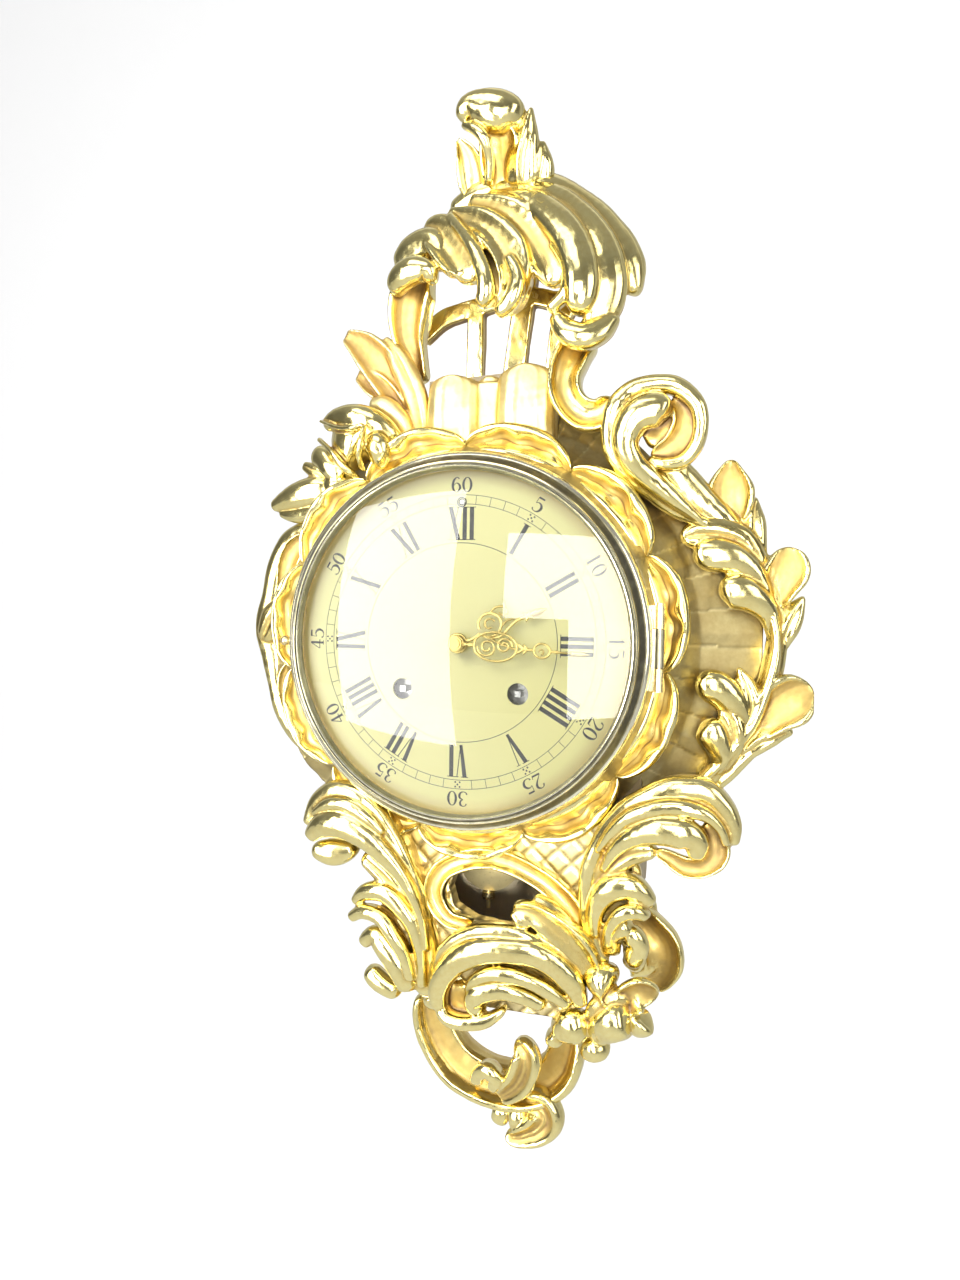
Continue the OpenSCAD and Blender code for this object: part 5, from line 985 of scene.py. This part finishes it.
HOURS = ["I", "II", "III", "IIII", "V", "VI", "VII", "VIII", "IX", "X", "XI", "XII"]
HOUR_INNER_R, HOUR_OUTER_R = 54.9, 72.4
TRACK_INNER_R, TRACK_OUTER_R = 74.0, 78.8
INNER_LINE_R, INNER_LINE, TRACK_LINE = 53.4, 0.32, 0.26
MINUTE_LINE = 0.24
REGULATOR_Z, REGULATOR_RING_R, REGULATOR_LINE = 75, 2.4, 0.7
FIGURE_R = 84.2
FIGURE_STEP = 6.0
FIGURE_SCALE = 0.98
PRINT_THICKNESS = 0.05

# Letters of the hours: their width, their strokes as rows of place across, height and width,
# and their serifs as place across and length
HIGH = HOUR_OUTER_R - HOUR_INNER_R
THICK, FINE, SERIF = 2.3, 0.45, 0.35
SERIF_LOW, SERIF_HIGH = 0.18, HIGH - 0.18
LETTERS = {
    "I": (3.95, [[(0, 0, THICK), (0, HIGH, THICK)]], [(0, 4.2)]),
    "V": (7.4, [[(-2.0, HIGH, THICK), (0.35, 0, 1.7)],
                [(2.4, HIGH, FINE), (0.5, 0, FINE)],
                [(-4.0, SERIF_HIGH, SERIF), (0.1, SERIF_HIGH, SERIF)],
                [(1.4, SERIF_HIGH, SERIF), (3.6, SERIF_HIGH, SERIF)]], []),
    "X": (7.6, [[(-2.2, HIGH, THICK), (2.2, 0, THICK)],
                [(2.3, HIGH, FINE), (-2.3, 0, FINE)]], [(-2.2, 3.4), (2.2, 3.4)]),
}

# Pen strokes of the figures: rows of place across, height and width, on a height of 8
FIGURES = {
    "1": "1.3 6.6 0.3, 2.7 7.9 0.5; 2.7 8 1.3, 2.7 0.1 1.3; 1.1 0.15 0.3, 4.3 0.15 0.3",
    "2": """0.6 6.1 0.9, 1.1 7.4 0.5, 2.6 8 0.4, 4.2 7.2 1.1, 4.5 5.7 1.3, 3.4 3.9 0.8,
        1.6 1.9 0.4, 0.4 0.4 0.3; 0.4 0.45 0.9, 4.9 0.45 0.9; 4.9 0.4 0.3, 5.1 1.9 0.3""",
    "3": """0.7 6.6 0.8, 1.4 7.7 0.4, 2.7 8 0.4, 4.1 7.1 1.1, 4 5.3 0.9, 2.6 4.3 0.3;
        2.6 4.3 0.3, 4.3 3.6 1, 4.7 2 1.3, 3.9 0.5 0.8, 2.3 0 0.4, 0.9 0.5 0.5, 0.5 1.5 0.9""",
    "4": """3.5 8 0.4, 0.3 2.6 0.4; 0.3 2.5 0.5, 5.3 2.5 0.5; 3.6 8 1.2, 3.6 0.1 1.2;
        2.4 0.15 0.3, 4.8 0.15 0.3""",
    "5": """1.2 7.7 0.9, 4.6 7.7 0.9; 1.2 8 0.3, 1 4.5 0.3; 1 4.4 0.3, 2.4 5.1 0.5,
        4.1 4.5 1.1, 4.9 2.8 1.4, 4 0.8 0.9, 2.2 0.1 0.4, 0.7 0.6 0.5, 0.5 1.4 0.9""",
    "6": """4.3 7.2 0.6, 3 8 0.4, 1.4 6.6 1.1, 0.7 4 1.4, 1 1.6 1.1, 2.7 0 0.4, 4.4 1.2 1.1,
        4.8 2.7 1.2, 4.2 4.2 0.9, 2.7 4.9 0.35, 1.2 3.7 0.3""",
}


class Sheet:
    """Flat shapes laid on the dial as thin prisms."""

    def __init__(self, d):
        self.d, self.points, self.faces = d, [], []

    def prism(self, left, right):
        """Strip between two lines of points."""
        n = len(left)
        base = len(self.points)
        for d in (self.d, self.d + PRINT_THICKNESS):
            self.points += [(x, -d, z) for x, z in (*left, *right)]
        a, b, c, e = base, base + n, base + 2 * n, base + 3 * n
        for i in range(n - 1):
            self.faces.append((c + i, c + i + 1, e + i + 1, e + i))
            self.faces.append((a + i, b + i, b + i + 1, a + i + 1))
            self.faces.append((a + i, a + i + 1, c + i + 1, c + i))
            self.faces.append((b + i, e + i, e + i + 1, b + i + 1))
        m = n - 1
        self.faces.append((a, c, e, b))
        self.faces.append((a + m, b + m, e + m, c + m))

    def ribbon(self, rows, place=None):
        """Stroke through rows of x, z and width, moved by place."""
        rows = np.array(rows, float)
        way = directions(rows)
        side = np.stack([-way[:, 1], way[:, 0]], axis=1) * rows[:, 2:3] / 2
        left, right = rows[:, :2] + side, rows[:, :2] - side
        if place:
            left, right = [place(*p) for p in left], [place(*p) for p in right]
        self.prism(left, right)

    def ring(self, x, z, r, width, steps=48):
        turn = np.linspace(0, TURN, steps + 1)
        self.ribbon([(x + r * math.cos(a), z + r * math.sin(a), width) for a in turn])


def figure_strokes(figure):
    """Rows of x, z and width for each pen stroke of a figure."""
    if figure == "0":
        return [[
            (2.8 + 2.2 * math.cos(a), 4 + 3.85 * math.sin(a), 0.35 + abs(math.cos(a)) ** 1.5)
            for a in np.linspace(0, TURN, 37)
        ]]
    strokes = [table(text, 3) for text in FIGURES[figure].split(";")]
    return [smooth_rows(rows, 6) if len(rows) > 2 else rows for rows in strokes]


def on_dial(angle, radius):
    """Moves a letter's own place to the dial, its top outward, at an angle from twelve."""
    a = math.radians(angle)

    def place(x, z):
        r = radius + z
        return (r * math.sin(a) + x * math.cos(a), r * math.cos(a) - x * math.sin(a))

    return place


def hour_mark(sheet, text, angle):
    place = on_dial(angle, HOUR_INNER_R)
    x = -sum(LETTERS[c][0] for c in text) / 2
    for c in text:
        width, strokes, serifs = LETTERS[c]
        m = x + width / 2
        for stroke in strokes:
            sheet.ribbon([(m + u, v, w) for u, v, w in stroke], place)
        for middle, across in serifs:
            start, end = m + middle - across / 2, m + middle + across / 2
            for v in (SERIF_LOW, SERIF_HIGH):
                sheet.ribbon([(start, v, SERIF), (end, v, SERIF)], place)
        x += width


def dial_print():
    """Generic hour and minute marks, and no other lettering."""
    sheet = Sheet(DIAL_FACE_D + 0.01)
    sheet.ring(0, 0, INNER_LINE_R, INNER_LINE, 240)
    for r in (TRACK_INNER_R, TRACK_OUTER_R):
        sheet.ring(0, 0, r, TRACK_LINE, 240)
    middle = (TRACK_INNER_R + TRACK_OUTER_R) / 2
    for minute in range(60):
        if minute % 5:
            place = on_dial(minute * 6, TRACK_INNER_R)
            end = (0, TRACK_OUTER_R - TRACK_INNER_R, MINUTE_LINE)
            sheet.ribbon([(0, 0, MINUTE_LINE), end], place)
        elif minute:
            for x, z in ((0, 0), (1.25, 1.25), (-1.25, 1.25), (1.25, -1.25), (-1.25, -1.25)):
                sheet.ring(*on_dial(minute * 6, middle)(x, z), 0.25, 0.5, 10)
    for i, text in enumerate(HOURS):
        hour_mark(sheet, text, 30 * (i + 1))
    for minute in range(5, 65, 5):
        text = str(minute)
        shifted = on_dial(minute * 6, FIGURE_R - 4.0)
        x = -FIGURE_STEP * len(text) / 2 + 0.2
        for c in text:
            for stroke in figure_strokes(c):
                sheet.ribbon(np.array(stroke) * FIGURE_SCALE + (x, 0, 0), shifted)
            x += FIGURE_STEP
    sheet.ring(0, REGULATOR_Z, REGULATOR_RING_R, REGULATOR_LINE)
    obj = mesh_object("dial_print", np.array(sheet.points) * MM, sheet.faces, ink)
    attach(obj, "case")


# Hands

# Section of a small round boss on a hand: share of its radius and height
BOSS = [(0.9, -0.3), (1.0, 0.0), (0.92, 0.3), (0.6, 0.52)]
BOSS_STEPS = 24


def on_hand(x, z, a):
    """A place on an upright hand, turned clockwise to its angle."""
    return x * math.cos(a) + z * math.sin(a), z * math.cos(a) - x * math.sin(a)


def wire(rows, d, a):
    """Flattened bar through rows of x, z and width, on a hand turned to its angle."""
    rows = smooth_rows(rows, 5) if len(rows) > 2 else np.array(rows, float)
    points = []
    for (x, z, w), (dx, dz) in zip(rows, directions(rows)):
        for k in range(8):
            b = TURN * k / 8
            side, up = 0.7 * w * math.cos(b), min(0.5, 0.7 * w) * math.sin(b)
            px, pz = on_hand(x - dz * side, z + dx * side, a)
            points.append((px, -(d + up), pz))
    return np.array(points) * MM, tube_faces(len(rows), 8)


def loop(x, z, r, w, stretch=1.0, start=0.0, turns=1.0, end_r=None):
    """Ring or spiral as rows of x, z and width."""
    n = max(10, int(16 * turns))
    end_r = r if end_r is None else end_r
    rows = []
    for i in range(n + 1):
        t = i / n
        a = math.radians(start) + TURN * turns * t
        q = r + (end_r - r) * t
        rows.append((x + q * math.cos(a), z + q * stretch * math.sin(a), w))
    return rows


def boss(x, z, r, d, a):
    cx, cz = on_hand(x, z, a)
    section = [(0.01, -0.3), *((r * share, h) for share, h in BOSS), (0.01, 0.6)]
    points = []
    for i in range(BOSS_STEPS):
        b = TURN * i / BOSS_STEPS
        points += [(cx + q * math.cos(b), -(d + h * 0.7), cz + q * math.sin(b))
                   for q, h in section]
    n = len(section)
    faces = turned_faces(BOSS_STEPS, n, closed=False)
    faces.append(tuple(i * n for i in range(BOSS_STEPS)))
    faces.append(tuple(i * n + n - 1 for i in reversed(range(BOSS_STEPS))))
    return np.array(points) * MM, faces


def hand(name, node, body, lift, angle, wires, bosses):
    d, a = DIAL_FACE_D + lift, math.radians(angle)
    parts = [wire(rows, d, a) for rows in wires] + [boss(x, z, r, d, a) for x, z, r in bosses]
    obj = mesh_object(name, *joined(parts), gilt_brass)
    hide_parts(node)
    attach(obj, body)


def hands():
    """Pierced hands of fine scrolls, in the CAD hands' places."""
    hand("hour_hand_scrolls", "hour_hand", "hour", 3.4, 68, [
        loop(0, 0, 4.3, 1.7),
        [(0.6, 5, 1.3), (0.8, 9, 1.1), (-0.4, 13.5, 1.0)],
        loop(-3.2, 20, 6.6, 1.0, 1.1, -60, 0.93, 5.4),
        loop(-3.0, 20, 3.4, 0.8, 1.0, 100, 0.8, 1.6),
        [(-8.6, 22.5, 0.8), (-10.2, 26, 0.9), (-9.4, 30.2, 0.9), (-6.2, 31.4, 0.8),
         (-5.0, 28.6, 0.8), (-7.2, 27.2, 0.7)],
        [(-8.8, 30.6, 0.9), (-11.2, 32.2, 0.7), (-13, 31.6, 0.3)],
        [(0.5, 14, 0.9), (4.2, 18.5, 1.0), (4.6, 24.5, 1.0), (2.0, 30, 1.0), (0.2, 35, 1.1),
         (0, 41, 1.3)],
        [(1.6, 24, 0.7), (-1.6, 29.4, 0.8), (-1.0, 34, 0.7)],
        [(-2.6, 39.2, 0.3), (0, 40.8, 1.5), (2.6, 39.2, 0.3)],
        [(-2.2, 43.6, 0.3), (0, 42, 1.5), (2.2, 43.6, 0.3)],
        [(0, 42, 1.2), (0, 45.5, 2.6), (0, 48, 2.3), (0, 51.7, 0.4)],
    ], [(-5.4, 30.0, 0.9), (0, 41.4, 1.5)])
    hand("minute_hand_scrolls", "minute_hand", "minute", 5.9, 93, [
        loop(0, 0, 3.4, 1.5),
        [(0, 4, 1.6), (0, 6.4, 0.9), (0, 8, 1.5), (0, 9.6, 0.9)],
        loop(0, 21.5, 7.6, 0.9, 1.55, -90, 1.0),
        loop(0.6, 17, 5.0, 0.85, 1.05, -90, 1.5, 1.4),
        loop(-0.8, 26.4, 4.2, 0.85, 1.05, 90, 1.5, 1.2),
        [(-6.4, 14.5, 0.7), (-2.5, 22.0, 0.8), (0.5, 33, 0.9)],
        [(-3.4, 31.5, 0.6), (0, 36.4, 1.1), (3.4, 31.5, 0.6)],
        [(-2.6, 36.6, 0.4), (0, 38.4, 1.3), (2.6, 36.6, 0.4)],
        [(0, 36, 1.2), (0, 42.6, 1.0)],
        loop(0, 46.6, 3.7, 0.9, 1.15, -90, 1.0),
        loop(0.5, 46.2, 1.6, 0.7, 1.0, 0, 0.8, 0.9),
        [(0, 50.8, 1.4), (0, 53, 0.9), (0, 54.4, 1.5), (0, 56, 0.8), (0, 62.5, 0.7)],
        [(-1.3, 62, 0.3), (0, 62.8, 1.1), (1.3, 62, 0.3)],
        [(0, 62.5, 1.0), (0, 65.5, 1.7), (0, 68, 1.2), (0, 71.7, 0.3)],
    ], [(0, 36.6, 1.3)])


# Bezel and glass

WALL, LIP_H = 6.6, 11.3  # the wall's thickness, and height of the back of the lip
# Outer side of the bezel's rim: place inward from its edge, and height
BEZEL_RIM = table("""
    0.3 0, 0 0.4, 0 6, 0.2 7.4, 0.9 8.8, 1.7 9.6, 2.4 9.9, 2.7 9.7, 2.9 9.9, 3.8 11.2, 4.8 12.6,
    5.4 13.2, 5.7 14.2, 6.1 15, 6.6 15.2, 7.1 14.8, 7.3 14.2, 7.5 13.7, 7.8 13.7, 8 14.3,
    8.3 14.9, 8.7 15, 9.1 14.6, 9.3 14, 9.5 13.4, 9.9 12.8""", 2)
# How dark the bezel's brass is at each radius: dark patina in its groove and in the lines between
# its beads, painted reflections pale on its flange and beads, and darker again on its lip by the
# glass
BEZEL_SHADE = table("""
    91.6 0.6, 92.5 0.7, 92.8 0.4, 93.1 0, 93.7 0, 93.9 1, 94.6 1, 94.8 0, 96 0, 96.3 1,
    99.2 0.95, 99.5 0, 102.3 0, 103.2 0.7""", 2)
KNUCKLE_R, KNUCKLE_HALF, PIN_R, KNUCKLE_STEPS = 2.3, 10.0, 1.25, 32


def bezel():
    """Rim with a flange painted pale as a reflection, a dark groove and two fine beads."""
    section = [(BEZEL_R - inward, h) for inward, h in BEZEL_RIM]
    section += [(SIGHT_R + 0.1, 12.0), (SIGHT_R, 11.6), (SIGHT_R, LIP_H),
                (BEZEL_R - WALL, LIP_H), (BEZEL_R - WALL, 0.0)]
    rim = lathe("bezel_rim", [(r, BEZEL_D + h) for r, h in section], bezel_brass, steps=288)
    join_knuckle(rim)
    r = np.hypot(*coordinates(rim.data)[:, ::2].T) / MM
    store_hollow(rim.data, np.interp(r, *BEZEL_SHADE.T))
    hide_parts("bezel")
    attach(rim, "door")


def join_knuckle(obj):
    """Adds the middle knuckle of the hinge and its leaf to the bezel's mesh."""
    half, r = KNUCKLE_HALF, KNUCKLE_R
    section = [(-half, PIN_R), (-half, r - 0.3), (-half + 0.3, r),
               (half - 0.3, r), (half, r - 0.3), (half, PIN_R)]
    bm = bmesh.new()
    bm.from_mesh(obj.data)
    corners = []
    for i in range(KNUCKLE_STEPS):
        a = TURN * i / KNUCKLE_STEPS
        corners += [
            bm.verts.new(((HINGE_X + q * math.cos(a)) * MM, -(HINGE_D + q * math.sin(a)) * MM,
                          h * MM))
            for h, q in section
        ]
    for face in turned_faces(KNUCKLE_STEPS, len(section)):
        bm.faces.new([corners[i] for i in face])
    leaf = [
        bm.verts.new((x * MM, -d * MM, z * MM))
        for x in (BEZEL_R - 1.2, HINGE_X - 1.1) for d in (BEZEL_D, HINGE_D)
        for z in (-half, half)
    ]
    for face in ("0132", "4675", "0451", "2376", "0264", "1573"):
        bm.faces.new([leaf[int(i)] for i in face])
    bmesh.ops.recalc_face_normals(bm, faces=bm.faces)
    bm.to_mesh(obj.data)
    bm.free()
    obj.data.set_sharp_from_angle(angle=math.radians(40))


def glass_dome():
    """Thin domed glass on the CAD glass's curve."""
    low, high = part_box("glass")
    edge_r = high.x / MM
    top, back, thickness = -low.y / MM, -high.y / MM, 2.0
    rise = top - back - thickness
    dome = (edge_r ** 2 + rise ** 2) / (2 * rise)
    rows = [edge_r * i / 40 for i in range(41)]
    front = [(max(r, 0.02), top - dome + math.sqrt(dome ** 2 - r ** 2)) for r in rows]
    inner = [(r, d - thickness) for r, d in front]
    obj = lathe("glass_dome", front + inner[::-1], glass, steps=192)
    obj.data.set_sharp_from_angle(angle=math.radians(60))
    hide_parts("glass")
    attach(obj, "door")


# Stage

# Camera fitted to the photo's view of the dial's rings
LENS, SENSOR = 26.16, 36.0
CAMERA_PLACE = (0.1568, -0.55675, 0.02647)
YAW, PITCH, ROLL_ANGLE = (math.radians(a) for a in (17.1333, -2.846, 0.9485))

WORLD_FRONT = 0.18  # strength of the world in front of the clock
BACKDROP_GLOW, BACKDROP_MIRRORED = 0.6, 0.25
# Backdrop in metres: floor height, bend, half width and how far it runs
FLOOR_Z, BEND, HALF_WIDTH, BEND_START, FRONT_Y, TOP_Z = -1.0, 0.7, 4.0, 0.6, -3.0, 3.0

# Name, place, target, size and power; then whether it lights matt surfaces and shows in gloss.
# The windows are reflections only.
LAMPS = (
    ("key", (-0.75, -1.0, 0.95), (0, 0, 0), (0.9, 0.9), 17.5, True, False),
    ("fill", (1.2, -0.8, 0.3), (0, 0, 0), (0.6, 1.1), 6.5, True, True),
    ("left_window", (-0.63, -0.93, 0.07), (-0.63, 0, 0.07), (0.69, 1.1), 22, False, True),
    ("right_window", (0.175, -0.93, 0.23), (0.175, 0, 0.23), (0.49, 0.34), 5.6, False, True),
    ("low_window", (0.316, -0.93, -0.1375), (0.316, 0, -0.1375), (0.27, 0.395), 3.8, False, True),
    ("sky_window", (-0.3, -0.95, 1.15), (0, 0, 0.1), (1.1, 0.5), 5, False, True),
)


def camera():
    data = bpy.data.cameras.new("camera")
    data.sensor_fit = "AUTO"
    data.sensor_width = SENSOR
    data.lens = LENS
    obj = linked("camera", data)
    turn = (
        Matrix.Rotation(YAW, 4, "Z")
        @ Matrix.Rotation(math.radians(90) + PITCH, 4, "X")
        @ Matrix.Rotation(ROLL_ANGLE, 4, "Z")
    )
    obj.matrix_world = Matrix.Translation(CAMERA_PLACE) @ turn
    bpy.context.scene.camera = obj


def lamp(name, kind, place, target, power):
    data = bpy.data.lights.new(name, kind)
    data.energy = power
    obj = linked(name, data)
    obj.location = place
    way = Vector(target) - Vector(place)
    obj.rotation_euler = way.to_track_quat("-Z", "Y").to_euler()
    return obj


def backdrop():
    """Pale floor that curves up into a pale backdrop."""
    t = new_tree("backdrop")
    rays = t.add("ShaderNodeLightPath").outputs
    mirrored = t.math("MULTIPLY", rays["Is Glossy Ray"], BACKDROP_MIRRORED)
    seen = t.math("MAXIMUM", rays["Is Camera Ray"], mirrored)
    seen = t.math("MAXIMUM", seen, rays["Is Transmission Ray"])
    plain = t.add("ShaderNodeBsdfDiffuse", Color=(0.9, 0.9, 0.9))
    glow = t.add("ShaderNodeEmission", Color=(1, 1, 1),
                 Strength=t.math("MULTIPLY", seen, BACKDROP_GLOW))
    both = t.pair(t.add("ShaderNodeAddShader"), plain.outputs[0], glow.outputs[0])
    path = [(FRONT_Y, FLOOR_Z)]
    for i in range(17):
        a = math.radians(90 * i / 16)
        path.append((BEND_START + BEND * math.sin(a), FLOOR_Z + BEND * (1 - math.cos(a))))
    path.append((BEND_START + BEND, TOP_Z))
    points = [(x, y, z) for y, z in path for x in (-HALF_WIDTH, HALF_WIDTH)]
    faces = [(2 * i, 2 * i + 1, 2 * i + 3, 2 * i + 2) for i in range(len(path) - 1)]
    mesh_object("floor_and_backdrop", points, faces, t.shown(both))


def studio():
    """Backdrop, soft light and the windows that the glass and gold show."""
    backdrop()
    world = bpy.data.worlds.new("studio")
    bpy.context.scene.world = world
    t = Tree(world, "ShaderNodeOutputWorld")
    way = t.add("ShaderNodeTexCoord").outputs["Generated"]
    place = t.add("ShaderNodeSeparateXYZ", Vector=way).outputs
    light = t.math("ADD", t.level(place["Y"], 0.0, 0.4, WORLD_FRONT, 1.0),
                   t.level(place["Z"], 0.3, 0.9, 0.0, 0.3))
    seen = t.add("ShaderNodeLightPath").outputs["Is Camera Ray"]
    t.shown(t.add("ShaderNodeBackground", Strength=t.math("MAXIMUM", light, seen)).outputs[0])
    for name, place, target, size, power, diffuse, glossy in LAMPS:
        obj = lamp(name, "AREA", place, target, power)
        obj.data.shape = "RECTANGLE"
        obj.data.size, obj.data.size_y = size
        obj.visible_diffuse, obj.visible_glossy = diffuse, glossy
        obj.visible_camera = False
    spot = lamp("window_lamp", "SPOT", (0.13, -0.52, -0.12), (0.005, -0.03, -0.142), 14).data
    spot.spot_size, spot.spot_blend = math.radians(10), 0.6
    spot.shadow_soft_size = 0.03


carving()
scallop_ring()
ground_panel()
dial_print()
hands()
bezel()
glass_dome()
camera()
studio()
bpy.context.scene.view_settings.view_transform = "Standard"
